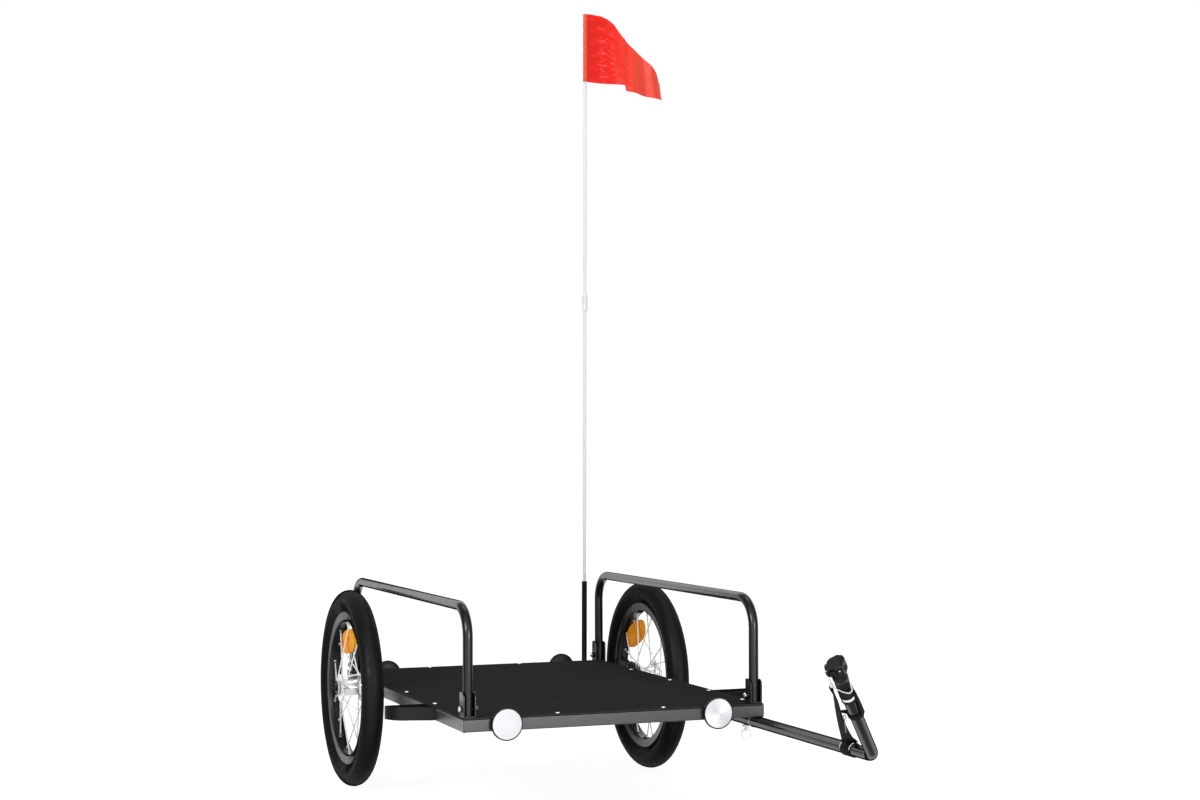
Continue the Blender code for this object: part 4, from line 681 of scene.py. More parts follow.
def smooth_path(points, steps):
    """A smooth curve through the points, with the same number of steps in each span."""
    made = []
    for index in range(len(points) - 1):
        before = points[max(index - 1, 0)]
        here = points[index]
        after = points[index + 1]
        beyond = points[min(index + 2, len(points) - 1)]
        for step in range(steps):
            t = step / steps
            square = 2 * before - 5 * here + 4 * after - beyond
            cube = 3 * here - before - 3 * after + beyond
            made.append(0.5 * (2 * here + (after - before) * t + square * t * t + cube * t ** 3))
    return made + [points[-1]]


def path_frames(points, closed=False):
    """A (side, up) pair at each point of a path, carried along without twist."""
    count = len(points)
    frames = []
    side = None
    for index in range(count):
        if closed:
            ahead = points[(index + 1) % count] - points[index - 1]
        else:
            ahead = points[min(index + 1, count - 1)] - points[max(index - 1, 0)]
        ahead.normalize()
        if side is None:
            helper = Z_AXIS if abs(ahead.z) < 0.9 else X_AXIS
            side = helper.cross(ahead).normalized()
        side = (side - ahead * side.dot(ahead)).normalized()
        frames.append((side, ahead.cross(side)))
    return frames


def tube(shape, points, radius, sides=20, closed=False):
    """A round tube along the points. The radius may be one value or one for each point."""
    radii = radius if isinstance(radius, list) else [radius] * len(points)
    rings = []
    for point, size, (side, up) in zip(points, radii, path_frames(points, closed)):
        rings.append(add_ring(shape, [point + (side * c + up * s) * size for c, s in circle(sides)]))
    skin(shape, rings, closed)


def tube_piece(name, points, radius, sides, material, body, replaced=()):
    """A piece that is one tube."""
    shape = bmesh.new()
    tube(shape, points, radius, sides)
    finish_piece(name, shape, material, body, replaced)


def wire_ring(shape, centre, across, up, wire, steps, sides):
    """A closed ring of round wire. The two vectors are its half width and half height."""
    tube(shape, [centre + across * c + up * s for c, s in circle(steps)], wire, sides, True)


def prism(shape, outline, place, thickness):
    """A flat outline in the local XY plane of a matrix, made a plate centred on it."""
    loft(shape, [[(x, y, z) for x, y in outline] for z in (-thickness / 2, thickness / 2)], place)


def rectangle(width, height):
    x, y = width / 2, height / 2
    return [(-x, -y), (x, -y), (x, y), (-x, y)]


def arc(centre, radius, start, end, steps):
    angles = [start + (end - start) * step / steps for step in range(steps + 1)]
    return [(centre[0] + radius * cos(a), centre[1] + radius * sin(a)) for a in angles]


def axis_place(origin, z_axis, x_axis=None):
    """A matrix with its Z along an axis, for turned and flat shapes."""
    z_axis = Vector(z_axis).normalized()
    if x_axis is None:
        x_axis = Z_AXIS if abs(z_axis.z) < 0.9 else X_AXIS
    x_axis = (x_axis - z_axis * x_axis.dot(z_axis)).normalized()
    y_axis = z_axis.cross(x_axis)
    turn = Matrix((x_axis, y_axis, z_axis)).transposed().to_4x4()
    return Matrix.Translation(origin) @ turn


# Frame


def rounded_square(size, corner, steps=3):
    points = []
    for quarter in range(4):
        middle = pi / 2 * quarter + pi / 4
        reach = (size / 2 - corner) * sqrt(2)
        centre = (reach * cos(middle), reach * sin(middle))
        points += arc(centre, corner, middle - pi / 4, middle + pi / 4, steps)
    return points


def build_beam(name, length, x, y, turn):
    """A square tube with rounded corners and mitred ends, whose outer side is its local -Y side."""
    place = Matrix.Translation(at(x, y, FRAME_BOTTOM_Z + BEAM_SIZE / 2)) @ spin(turn, "Z")
    shape = bmesh.new()
    outer = rounded_square(BEAM_SIZE, BEAM_CORNER)
    inner = rounded_square(BEAM_SIZE - 2 * BEAM_WALL, BEAM_CORNER - BEAM_WALL)
    reach = length / 2 - MITRE_GAP - BEAM_SIZE / 2
    outlines = []
    for end, outline in ((-1, inner), (-1, outer), (1, outer), (1, inner)):
        outlines.append([(end * (reach - across), across, high) for across, high in outline])
    loft(shape, outlines, place, closed=True)
    piece = finish_piece(name + "_tube", shape, LIT_BEAM_PAINT, "frame", (name,), 50.0)
    piece.modifiers.new("flat_sides", "WEIGHTED_NORMAL").keep_sharp = True


def build_frame():
    inset = BEAM_SIZE / 2
    side_x = FRAME_WIDTH / 2 - inset
    middle_y = (FRAME_FRONT_Y + FRAME_REAR_Y) / 2
    build_beam("front_beam", FRAME_WIDTH, 0, FRAME_FRONT_Y + inset, 0.0)
    build_beam("rear_beam", FRAME_WIDTH, 0, FRAME_REAR_Y - inset, pi)
    for side, sign in SIDES.items():
        build_beam(f"{side}_side_beam", FRAME_REAR_Y - FRAME_FRONT_Y, sign * side_x, middle_y, sign * pi / 2)
    softened_node("cross_member", PAINT, 0.0015)
    softened_node("deck_panel", DECK)
    build_mitre_welds()
    build_deck_screws()


def build_mitre_welds():
    """The dressed weld lines where the beams meet, on their lower faces."""
    shape = bmesh.new()
    seeded = random.Random(4)
    for x_sign in (-1, 1):
        for y, inward in ((FRAME_FRONT_Y, 1), (FRAME_REAR_Y, -1)):
            corner = Vector((x_sign * FRAME_WIDTH / 2, y, FRAME_BOTTOM_Z))
            inner = corner + Vector((-x_sign * BEAM_SIZE, inward * BEAM_SIZE, 0))
            points = [at(*corner.lerp(inner, 0.06 + 0.88 * step / 12)) for step in range(13)]
            radii = [WELD_RADIUS + WELD_SPREAD * seeded.random() for point in points]
            tube(shape, points, radii, 8)
    finish_piece("frame_welds", shape, LIT_BEAM_PAINT, "frame")


def build_deck_screws():
    """Pan-head screws round the deck's edge. Each cross recess is a thin black mark laid on the head: painted
    shade, not a cut.
    """
    heads = bmesh.new()
    recess_shade = bmesh.new()
    side_x = FRAME_WIDTH / 2 - SCREW_INSET
    spots = [(sign * side_x, y) for sign in (-1, 1) for y in SIDE_SCREW_Y]
    spots += [(x, y) for y in (FRAME_FRONT_Y + SCREW_INSET, FRAME_REAR_Y - SCREW_INSET) for x in END_SCREW_X]
    spots.append((side_x, CORNER_SCREW_Y))
    dome = [(1.0, 0.0), (1.0, 0.35), (0.82, 0.8), (0.5, 1.0), (0.0, 1.0)]
    dome = [(SCREW_RADIUS * wide, SCREW_HEIGHT * high) for wide, high in dome]
    for index, (x, y) in enumerate(spots):
        seat = Matrix.Translation(at(x, y, DECK_TOP_Z))
        turned(heads, dome, seat, 20)
        # Painted shade: a thin black cross stands for the dark inside the recess
        for quarter in (0, 1):
            turn = spin(0.7 * index + quarter * pi / 2, "Z")
            lift = shift(0, 0, SCREW_HEIGHT * 1.02)
            prism(recess_shade, rectangle(RECESS_LENGTH, RECESS_WIDTH), seat @ turn @ lift, 0.00012)
    finish_piece("deck_screws", heads, ZINC, "frame")
    finish_piece("deck_screw_recess_shade", recess_shade, MOULDING, "frame", slot="zinc_steel")


# Wheel sides


def build_wheel_sides():
    for side, sign in SIDES.items():
        for name, material, width in WHEEL_SIDE_NODES:
            softened_node(f"{name}_{side}", material, width)
        build_axle_seal(side, sign)
        place = Matrix.Translation(HUBS[side]) @ spin(sign * pi / 2, "Y")
        build_tyre(side, place)
        build_rim(side, place)
        build_spokes(side, place)
        build_hub(side, place)
        build_valve(side, place)
        build_spoke_reflector(side, sign, place)


def build_axle_seal(side, sign):
    """The dark seal ring on the axle's head."""
    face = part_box(f"axle_{side}")[1 if sign > 0 else 0].x
    place = axis_place(Vector((face, HUBS["left"].y, HUBS["left"].z)), (sign, 0, 0))
    ring = [(0.0062, 0.0001), (0.0062, 0.0009), (0.0072, 0.0013)]
    ring += [(0.0142, 0.0013), (0.0152, 0.0009), (0.0152, 0.0001)]
    turned_piece(f"axle_seal_{side}", ring, place, 48, MOULDING, "frame", closed=True)


def tread_depth(angle, around):
    """How deep the tread is cut at an angle across the tyre and a share of a block around it."""
    across = abs(angle)
    if across > TREAD_HALF_ANGLE:
        return 0.0
    groove = max(0.0, 1 - abs(across - GROOVE_AT) / GROOVE_HALF)
    share = (around + across * SIPE_SLANT) % 1.0
    sipe = 1.0 if share < SIPE_SHARE and across > SIPE_FROM else 0.0
    fade = min(1.0, (TREAD_HALF_ANGLE - across) / TREAD_FADE)
    return TREAD_DEPTH * max(groove, sipe) * fade


def build_tyre(side, place):
    """The tyre: a smooth sidewall with fine moulded rings, and a block tread."""
    crown = WHEEL_RADIUS - TYRE_RADIUS
    degrees = [-degree for degree in reversed(TYRE_SIDE_DEGREES)]
    degrees += [*range(-TREAD_DEGREES, TREAD_DEGREES + 1, TREAD_STEP_DEGREES), *TYRE_SIDE_DEGREES]
    shape = bmesh.new()
    around = circle(TREAD_BLOCKS * STEPS_PER_BLOCK)
    outlines = []
    for angle in map(radians, degrees):
        ring = []
        for step, (c, s) in enumerate(around):
            size = TYRE_RADIUS - tread_depth(angle, (step % STEPS_PER_BLOCK) / STEPS_PER_BLOCK)
            radius = crown + size * cos(angle)
            ring.append((radius * c, radius * s, size * sin(angle)))
        outlines.append(ring)
    bead = RIM_HALF_WIDTH - BEAD_INSET
    for radius, height in mirrored([(RIM_TIP_RADIUS + 0.0012, bead), (BEAD_RADIUS, bead)]):
        outlines.append([(radius * c, radius * s, height) for c, s in around])
    loft(shape, outlines, place, closed=True)
    finish_piece(f"tyre_{side}_treaded", shape, TYRE, f"wheel_{side}", (f"tyre_{side}",), 32.0)
    lines = bmesh.new()
    for sign in (-1, 1):
        for angle in map(radians, MOULD_LINE_DEGREES):
            middle = (crown + TYRE_RADIUS * cos(angle), sign * TYRE_RADIUS * sin(angle))
            turned(lines, arc(middle, MOULD_LINE_RADIUS, 0, 2 * pi, 6)[:-1], place, 144, True)
    finish_piece(f"tyre_{side}_mould_lines", lines, TYRE, f"wheel_{side}", (), 60.0)


def build_rim(side, place):
    """A black rim with rounded lips, a stepped well and a smooth inner face."""
    tip = RIM_TIP_RADIUS
    foot = RIM_INNER_RADIUS
    half = RIM_HALF_WIDTH
    outer = [
        (tip - 0.0006, half - 0.0022), (tip, half - 0.0014), (tip - 0.0002, half - 0.0004),
        (tip - 0.0012, half), (tip - 0.0036, half - 0.0006), (foot + 0.0040, half - 0.0006),
        (foot + 0.0018, half - 0.0016), (foot + 0.0004, half - 0.0046), (foot, half - 0.0075),
        (foot, 0.0),
    ]
    well = [(tip - 0.0006, half - 0.0024), (foot + 0.0048, half - 0.0024), (foot + 0.0024, half - 0.0060)]
    well.append((foot + 0.0024, 0.0))
    ring = mirrored(outer) + [(radius, -height) for radius, height in mirrored(well)]
    body = f"wheel_{side}"
    turned_piece(f"rim_{side}_smooth", ring, place, 120, RIM_BLACK, body, (f"rim_{side}",), True, 30.0)


def spoke_ends(index):
    """Where a spoke leaves its flange and where it meets the rim, in the wheel's own axes."""
    flange = 1 if index % 2 == 0 else -1
    lead = 1 if (index // 2) % 2 == 0 else -1
    rim_angle = 2 * pi * index / SPOKE_COUNT
    hub_angle = rim_angle + lead * SPOKE_LACING
    hole = HUB_FLANGE_RADIUS - SPOKE_HOLE_INSET
    height = flange * (HUB_HALF_WIDTH - 0.003 + lead * 0.0022)
    start = Vector((hole * cos(hub_angle), hole * sin(hub_angle), height))
    reach = RIM_INNER_RADIUS
    end = Vector((reach * cos(rim_angle), reach * sin(rim_angle), flange * SPOKE_RIM_OFFSET))
    return start, end


def build_spokes(side, place):
    """Spokes with their elbows in the flanges, and their nipples at the rim."""
    spokes = bmesh.new()
    nipples = bmesh.new()
    wide, long = NIPPLE_RADIUS, NIPPLE_LENGTH
    nipple = [(SPOKE_RADIUS, 0.0), (wide * 0.8, 0.0002), (wide * 0.85, long * 0.7)]
    nipple += [(wide * 1.25, long * 0.78), (wide * 1.25, long)]
    for index in range(SPOKE_COUNT):
        start, end = spoke_ends(index)
        along = (end - start).normalized()
        inward = copysign(SPOKE_ELBOW, start.z) * (1 if abs(start.z) > FLANGE_MIDDLE else -1)
        inner = start - Vector((0, 0, inward))
        points = [inner, start.lerp(inner, 0.3), start + along * 0.0016, start + along * 0.006]
        points.append(end - along * 0.002)
        tube(spokes, [place @ point for point in points], SPOKE_RADIUS, 8)
        head = Matrix.Translation(place @ inner) @ place.to_3x3().to_4x4()
        turned(spokes, [(0.0, -0.0006), (0.0019, -0.0004), (0.0019, 0.0004), (0.0, 0.0006)], head, 10)
        seat = axis_place(place @ (end - along * long), place.to_3x3() @ along)
        turned(nipples, nipple, seat, 10)
    finish_piece(f"spokes_{side}", spokes, SPOKE_STEEL, f"wheel_{side}")
    finish_piece(f"spoke_nipples_{side}", nipples, ZINC, f"wheel_{side}")


def build_hub(side, place):
    outer = HUB_HALF_WIDTH - 0.0015
    flange = HUB_FLANGE_RADIUS
    barrel = HUB_BARREL_RADIUS
    upper = [
        (0.0092, HUB_HALF_WIDTH), (0.0155, HUB_HALF_WIDTH), (0.0165, HUB_HALF_WIDTH - 0.0006),
        (0.0170, outer + 0.0002), (flange - 0.0010, outer), (flange, outer - 0.0008),
        (flange, outer - 0.0022), (flange - 0.0010, outer - 0.0030), (barrel + 0.0020, outer - 0.0034),
        (barrel, outer - 0.0060), (barrel - 0.0016, outer - 0.0110), (barrel - 0.0018, 0.0),
    ]
    replaced = (f"hub_spokes_{side}",)
    turned_piece(f"hub_{side}_shell", mirrored(upper), place, 72, CHROME, f"wheel_{side}", replaced, True)


def build_valve(side, place):
    """The inner tube's valve, between two spokes."""
    outward = Vector((cos(VALVE_ANGLE), sin(VALVE_ANGLE), 0))
    seat = axis_place(place @ (outward * (RIM_INNER_RADIUS + 0.001)), place.to_3x3() @ -outward)
    stem = [(0.0, 0.0), (0.0052, 0.0), (0.0046, 0.003), (0.0036, 0.006), (0.0034, 0.022), (0.0, 0.022)]
    cap = [(0.0, 0.0222), (0.0039, 0.0222), (0.0039, 0.031), (0.0030, 0.0335), (0.0, 0.0335)]
    turned_piece(f"valve_stem_{side}", stem, seat, 20, RUBBER, f"wheel_{side}")
    turned_piece(f"valve_cap_{side}", cap, seat, 16, MOULDING, f"wheel_{side}")


def superellipse(length, height, power, steps):
    points = []
    for c, s in circle(steps):
        wide = copysign(abs(c) ** power, c)
        high = copysign(abs(s) ** power, s)
        points.append((height / 2 * high, length / 2 * wide))
    return points


def build_spoke_reflector(side, sign, place):
    """An amber reflector with a raised border and two middle ribs, clipped among the spokes."""
    turn = spin(-REFLECTOR_TURN[side], "Z")
    lean = spin(REFLECTOR_LEAN[side], "Z")
    seat = place @ turn @ shift(-sign * REFLECTOR_RISE[side], 0, 0) @ lean
    outline = superellipse(REFLECTOR_LENGTH, REFLECTOR_HEIGHT, REFLECTOR_ROUNDNESS, 56)
    half = REFLECTOR_THICKNESS / 2
    levels = mirrored([(0.90, half - 0.0006), (0.92, half), (0.98, half), (1.0, half - 0.0008)])
    shape = bmesh.new()
    loft(shape, [[(x * scale, y * scale, height) for x, y in outline] for scale, height in levels], seat)
    name = f"spoke_reflector_{side}"
    finish_piece(name + "_lens", shape, AMBER_LENS, f"wheel_{side}", (name,), 25.0)
    ribs = bmesh.new()
    for y in (-RIB_OFFSET, RIB_OFFSET):
        bar = rectangle(REFLECTOR_HEIGHT * 0.88, RIB_WIDTH)
        prism(ribs, bar, seat @ shift(0, y, 0), REFLECTOR_THICKNESS + RIB_RISE)
    bevelled(finish_piece(name + "_ribs", ribs, AMBER_LENS, f"wheel_{side}"), 0.0002, 1)


# Hoops


def build_hoops():
    heads = bmesh.new()
    head = [(0.0, 0.0022), (0.0026, 0.0019), (0.0042, 0.0011), (0.0047, 0.0), (0.0047, -0.0008)]
    head.append((0.0, -0.0008))
    for side, sign in SIDES.items():
        ways = [(HOOP_FRONT_Y, HOOP_FOOT_Z), (HOOP_FRONT_Y, HOOP_TOP_Z), (HOOP_REAR_Y, HOOP_TOP_Z)]
        ways.append((HOOP_REAR_Y, HOOP_FOOT_Z))
        corners = [at(sign * HOOP_X, y, z) for y, z in ways]
        path = rounded_path(corners, HOOP_BEND, 16)
        tube_piece(f"hoop_{side}_tube", path, HOOP_RADIUS, 28, PAINT, "frame", (f"hoop_{side}",))
        for end in ENDS:
            build_hoop_bracket(f"hoop_bracket_{end}_{side}")
            bolt = f"hoop_bolt_{end}_{side}"
            softened_node(bolt, DARK_STEEL)
            low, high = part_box(bolt)
            seat = Vector((low.x, (low.y + high.y) / 2, (low.z + high.z) / 2))
            turned(heads, head, axis_place(seat, (-1, 0, 0)), 20)
    finish_piece("hoop_bolt_heads", heads, ZINC, "frame")


def build_hoop_bracket(name):
    """A folded bracket, open to the front: two ears with a rounded top corner, a back wall and a floor."""
    low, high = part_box(name)
    wall = BRACKET_WALL
    corner = BRACKET_CORNER
    depth = high.y - low.y
    height = high.z - low.z
    width = high.x - low.x - 2 * wall
    x, y = (low.x + high.x) / 2, (low.y + high.y) / 2
    round_top = arc((corner - depth / 2, height - corner), corner, pi, pi / 2, 6)
    ear = [(depth / 2, 0.0), (-depth / 2, 0.0), *round_top, (depth / 2, height)]
    upright = Matrix(((0, 0, 1), (1, 0, 0), (0, 1, 0))).to_4x4()
    standing = Matrix(((1, 0, 0), (0, 0, -1), (0, 1, 0))).to_4x4()
    shape = bmesh.new()
    for ear_x in (low.x + wall / 2, high.x - wall / 2):
        prism(shape, ear, shift(ear_x, y, low.z) @ upright, wall)
    back = shift(x, y + depth / 2 - wall / 2, low.z + height / 2)
    prism(shape, rectangle(width, height), back @ standing, wall)
    prism(shape, rectangle(width, depth), shift(x, y, low.z + wall / 2), wall)
    bevelled(finish_piece(name + "_folded", shape, PAINT, "frame", (name,)), 0.0006)


# Reflectors


def build_frame_reflectors():
    for end, facing, glass in (("front", -1, WHITE_LENS), ("rear", 1, RED_LENS)):
        for side in SIDES:
            build_frame_reflector(f"{end}_reflector_{side}", facing, glass)


def build_frame_reflector(name, facing, glass):
    """A cup with a rolled rim, and a domed lens set in it."""
    low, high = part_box(name + "_housing")
    radius = (high.z - low.z) / 2
    depth = high.y - low.y
    centre = Vector(((low.x + high.x) / 2, high.y if facing < 0 else low.y, (low.z + high.z) / 2))
    place = axis_place(centre, (0, facing, 0))
    cup = [
        (0.0, 0.0), (radius * 0.78, 0.0), (radius * 0.9, 0.0012), (radius - 0.0006, 0.0036),
        (radius, 0.0050), (radius, depth - 0.0008), (radius - 0.0004, depth - 0.0001),
        (radius - 0.0012, depth), (radius - 0.0018, depth - 0.0006), (radius - 0.0018, 0.0030),
        (0.0, 0.0030),
    ]
    turned_piece(name + "_cup", cup, place, 72, MOULDING, "frame", (name + "_housing",))
    face = radius - 0.0021
    lens = [(face, 0.0034), (face, depth - 0.0006)]
    for angle in (pi / 2 * step / 8 for step in range(1, 8)):
        lens.append((face * cos(angle), depth - 0.0005 + 0.0026 * sin(angle)))
    lens.append((0.0, depth + 0.0021))
    # This lens gets the painted reflection in sectors
    if name == "front_reflector_left":
        glass = sector_reflection_material(centre)
        SLOTS["white_lens"].append(glass)
    turned_piece(name + "_glass", lens, place, 72, glass, "frame", (name + "_lens",))


# Tow arm


FLEX_AT = Vector(JOINTS["coupler_flex"]["pos_m"])
PIN_AT = Vector(JOINTS["head_tilt"]["pos_m"])
RISE = (PIN_AT - FLEX_AT).normalized()
PIN_AXIS = Vector(JOINTS["head_tilt"]["axis"]).normalized()
ELBOW = FLEX_AT - RISE * BALL_STATION
RISING = axis_place(ELBOW, RISE, PIN_AXIS)


def on_tube(x, y, z):
    """A point in the rising tube's own axes: across along the hitch pin, forward, and up from the elbow."""
    return RISING @ Vector((x, y, z))


def build_tow_arm():
    corners = [at(ARM_X, ARM_REAR_Y, ARM_Z), ELBOW, ELBOW + RISE * ARM_END]
    path = rounded_path(corners, ELBOW_BEND, 14)
    tube_piece("tow_arm_tube", path, ARM_RADIUS, 32, ARM_PAINT, "frame", ("tow_arm",))
    wide = ARM_RADIUS + 0.0004
    plug = [(0.0, 0.0), (wide, 0.0), (wide, 0.0016), (ARM_RADIUS - 0.001, 0.003), (0.0, 0.0034)]
    seat = axis_place(corners[0], Y_AXIS)
    turned_piece("tow_arm_end_plug", plug, seat, 32, MOULDING, "frame")
    softened_node("arm_bolt", ZINC)
    softened_node("arm_lock_pin", ZINC)
    low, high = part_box("arm_pin_ring")
    radius = (high.z - low.z) / 2 - RING_WIRE
    ring = bmesh.new()
    wire_ring(ring, (low + high) / 2, X_AXIS * radius, Z_AXIS * radius, RING_WIRE, 48, 10)
    finish_piece("pull_ring_wire", ring, CHROME, "pin_ring", ("arm_pin_ring",))
    reach = ARM_RADIUS + THIN_WIRE
    loop = bmesh.new()
    wire_ring(loop, at(ARM_X, LANYARD_Y, ARM_Z), X_AXIS * reach, Z_AXIS * reach, THIN_WIRE, 28, 8)
    finish_piece("lanyard_loop", loop, ZINC, "frame")


# Hitch


def build_collar():
    """The steel collar at the tube's end with its ball, and the rubber bush and cuff on it."""
    low, high = ARM_END, COLLAR_END
    profile = [
        (0.0, low - 0.010), (ARM_RADIUS - 0.002, low - 0.010), (ARM_RADIUS - 0.002, low + 0.0003),
        (0.0118, low + 0.0003), (0.0124, low + 0.0012), (0.0124, high - 0.0014), (0.0116, high),
        (0.0050, high), (0.0050, BALL_STATION - 0.0075),
    ]
    neck = radians(34)
    for step in range(1, 9):
        angle = neck + (pi - neck) * step / 9
        profile.append((BALL_RADIUS * sin(angle), BALL_STATION - BALL_RADIUS * cos(angle)))
    profile.append((0.0, BALL_STATION + BALL_RADIUS))
    turned_piece("end_collar_steel", profile, RISING, 48, COLLAR_STEEL, "frame", ("arm_end_collar",))
    bush = bmesh.new()
    ring = [(0.0105, low - 0.0016), (0.0122, low - 0.0016), (0.0129, low - 0.0008), (0.0129, low + 0.0046)]
    ring += [(0.0126, low + 0.0052), (0.0122, low + 0.0052), (0.0122, low + 0.0006), (0.0105, low + 0.0006)]
    turned(bush, ring, RISING, 48, True)
    cuff = [(0.0125, high - 0.0036), (0.0131, high - 0.0030), (0.0131, high - 0.0002)]
    cuff += [(0.0126, high + 0.0003), (0.0112, high + 0.0003), (0.0125, high - 0.0014)]
    turned(bush, cuff, RISING, 48, True)
    finish_piece("arm_end_bush", bush, RUBBER, "frame")


def build_boot():
    """The ribbed rubber boot over the flexible joint, which bends with it."""
    profile = []
    steps = BOOT_RIBS * STEPS_PER_RIB
    for step in range(steps + 1):
        share = step / steps
        swell = 0.5 - 0.5 * cos(2 * pi * share * BOOT_RIBS)
        profile.append((0.0111 + 0.0017 * swell, BOOT_LOW + (BOOT_END - BOOT_LOW) * share))
    profile += [(0.0098, BOOT_END), (0.0058, BOOT_LOW)]
    shape = bmesh.new()
    turned(shape, profile, RISING, 48, True)
    piece = finish_piece("flex_boot_ribbed", shape, RUBBER, None, ("flex_boot",))
    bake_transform(piece)


def build_sleeve():
    """The moulded sleeve above the boot, running into the flat tongue that carries the hitch pin."""
    rounds = [
        (0.0116, 0.0116, BALL_STATION + 0.0002), (0.0124, 0.0124, BALL_STATION + 0.0014),
        (0.0124, 0.0124, BALL_STATION + 0.0050), (0.0119, 0.0119, BALL_STATION + 0.0060),
        (0.0119, 0.0119, SLEEVE_END - 0.0085), (0.0124, 0.0124, SLEEVE_END - 0.0075),
        (0.0124, 0.0124, SLEEVE_END - 0.0016), (0.0112, 0.0116, SLEEVE_END),
        (0.0060, 0.0106, SLEEVE_END + 0.0010), (0.0049, 0.0101, SLEEVE_END + 0.0030),
        (0.0049, 0.0099, PIN_STATION - 0.004), (0.0049, 0.0092, PIN_STATION + 0.002),
        (0.0046, 0.0066, PIN_STATION + 0.0075), (0.0030, 0.0030, PIN_STATION + 0.0098),
    ]
    shape = bmesh.new()
    around = circle(40)
    loft(shape, [[(wide * c, deep * s, height) for c, s in around] for wide, deep, height in rounds], RISING)
    finish_piece("coupler_sleeve_moulded", shape, HEAD_MOULDING, "coupler", ("coupler_sleeve",))


def build_head():
    """The hitch head's pin, nose block and rivets; its main form is the CAD solid's."""
    softened_node("hitch_head", HEAD_MOULDING, 0.0006)
    half = PIN_HALF
    ends = [(0.0, -half), (0.0030, -half), (0.0038, -half + 0.0004), (0.0038, -half + 0.0010)]
    ends += [(0.0024, -half + 0.0011), (0.0024, -0.0164), (0.0040, -0.0162)]
    seat = axis_place(PIN_AT, PIN_AXIS)
    turned_piece("hitch_pin_turned", mirrored(ends), seat, 28, PAINT, "coupler", ("hitch_pin",))
    facing = spin(pi / 2, "X")
    nose = bmesh.new()
    place = RISING @ shift(0.0, -0.0146, PIN_STATION + 0.0044) @ facing
    prism(nose, rounded_square(0.0086, 0.0018), place, 0.0012)
    bevelled(finish_piece("head_nose_block", nose, HEAD_MOULDING, "head"), 0.0004)
    rivets = bmesh.new()
    rivet = [(0.0, -0.0002), (0.0014, -0.0002), (0.0014, 0.0004), (0.0009, 0.0008), (0.0, 0.0009)]
    for x, z in ((-0.0118, 0.0088), (0.0112, 0.0100), (-0.0118, -0.0070)):
        turned(rivets, rivet, RISING @ shift(x, -0.0141, PIN_STATION + z) @ facing, 16)
    finish_piece("head_rivets", rivets, CHROME, "head")


def build_bail():
    """The wire bail: spring wire from an eye on the pin, round the sleeve's front, to the other eye."""
    half = BAIL_HALF
    corners = [
        on_tube(-half, -0.0008, PIN_STATION - BAIL_EYE),
        on_tube(-half, -0.0044, 0.2385),
        on_tube(-0.0150, -0.0095, 0.2165),
        on_tube(0.0020, -0.0145, 0.2108),
        on_tube(0.0120, -0.0145, 0.2070),
        on_tube(half, -0.0110, 0.2098),
        on_tube(half, -0.0008, PIN_STATION - BAIL_EYE),
    ]
    path = rounded_path(corners, BAIL_BEND, 8)
    tube_piece("bail_wire", path, BAIL_WIRE, 12, CHROME, "bail", ("pin_bail",))
    turn = RISING.to_3x3()
    eyes = bmesh.new()
    for sign in (-1, 1):
        centre = PIN_AT + turn @ X_AXIS * sign * half
        wire_ring(eyes, centre, turn @ Y_AXIS * BAIL_EYE, RISE * BAIL_EYE, BAIL_WIRE, 28, 10)
    finish_piece("bail_eyes", eyes, DARK_STEEL, "bail")
    clip = [(0.0012, -0.004), (0.0027, -0.004), (0.0031, 0.0), (0.0027, 0.004), (0.0012, 0.004)]
    seat = axis_place(on_tube(-0.0156, -0.0085, 0.2195), RISE)
    turned_piece("bail_clip", clip, seat, 20, ROD, "bail", closed=True)


def build_tie():
    """The soft band round the rising tube: its pointed tab, the long flap up its other side, and a tether."""
    inner = ARM_RADIUS + 0.0003
    outer = inner + 0.0020
    seat = RISING @ shift(0, 0, TIE_STATION)
    shape = bmesh.new()
    turned(shape, mirrored([(inner, 0.0048), (outer - 0.0004, 0.0050), (outer, 0.0042)]), seat, 48, True)
    tab = [(0.0, -0.0048), (0.0, 0.0048), (-0.0095, 0.0022), (-0.0115, 0.0008), (-0.0105, -0.0004)]
    aside = shift(-inner - 0.0010, 0, 0) @ spin(pi / 2, "X")
    prism(shape, tab, seat @ aside, 0.0036)
    flap = []
    for share in (step / 12 for step in range(13)):
        half = FLAP_HALF * (1 - 0.72 * share ** 1.3)
        out = 0.0118 + 0.0013 * min(1.0, share * 2.2)
        thick = 0.0026 * (1 - 0.35 * share)
        height = FLAP_LOW + (FLAP_TOP - FLAP_LOW) * share
        section = ((0.0, -1), (0.0, 1), (thick, 0.9), (thick, -0.9))
        flap.append([(out + x, y * half, height) for x, y in section])
    loft(shape, flap, RISING)
    finish_piece("tie_band_web", shape, WEBBING, "frame", ("tie_band",), 50.0)
    tether = bmesh.new()
    hang = on_tube(-0.0175, -0.004, TIE_STATION - 0.004)
    centre = hang - Vector((0, 0, 0.0030))
    wire_ring(tether, centre, Vector((0.0030, 0.0012, 0)), Z_AXIS * 0.0030, TETHER_WIRE, 24, 8)
    ways = ((0.0, 0.0, -0.006), (0.0012, 0.0004, -0.016), (0.0030, 0.0010, -0.028))
    tube(tether, smooth_path([hang + Vector(way) for way in ways], 6), TETHER_WIRE, 8)
    finish_piece("tether_wire", tether, BOLT_STEEL, "frame")


def strap_route():
    """From the bail's clip down to the first tube, along the same way as the CAD strap."""
    route = [on_tube(-0.0196, -0.0062, PIN_STATION - 0.0440)]
    route += [ELBOW + Vector(point) + STRAP_ASIDE for point in STRAP_FROM_ELBOW]
    route.append(at(ARM_X - 0.002, WRAP_Y, ARM_Z + ARM_RADIUS + 0.0016))
    return smooth_path(route, 8)


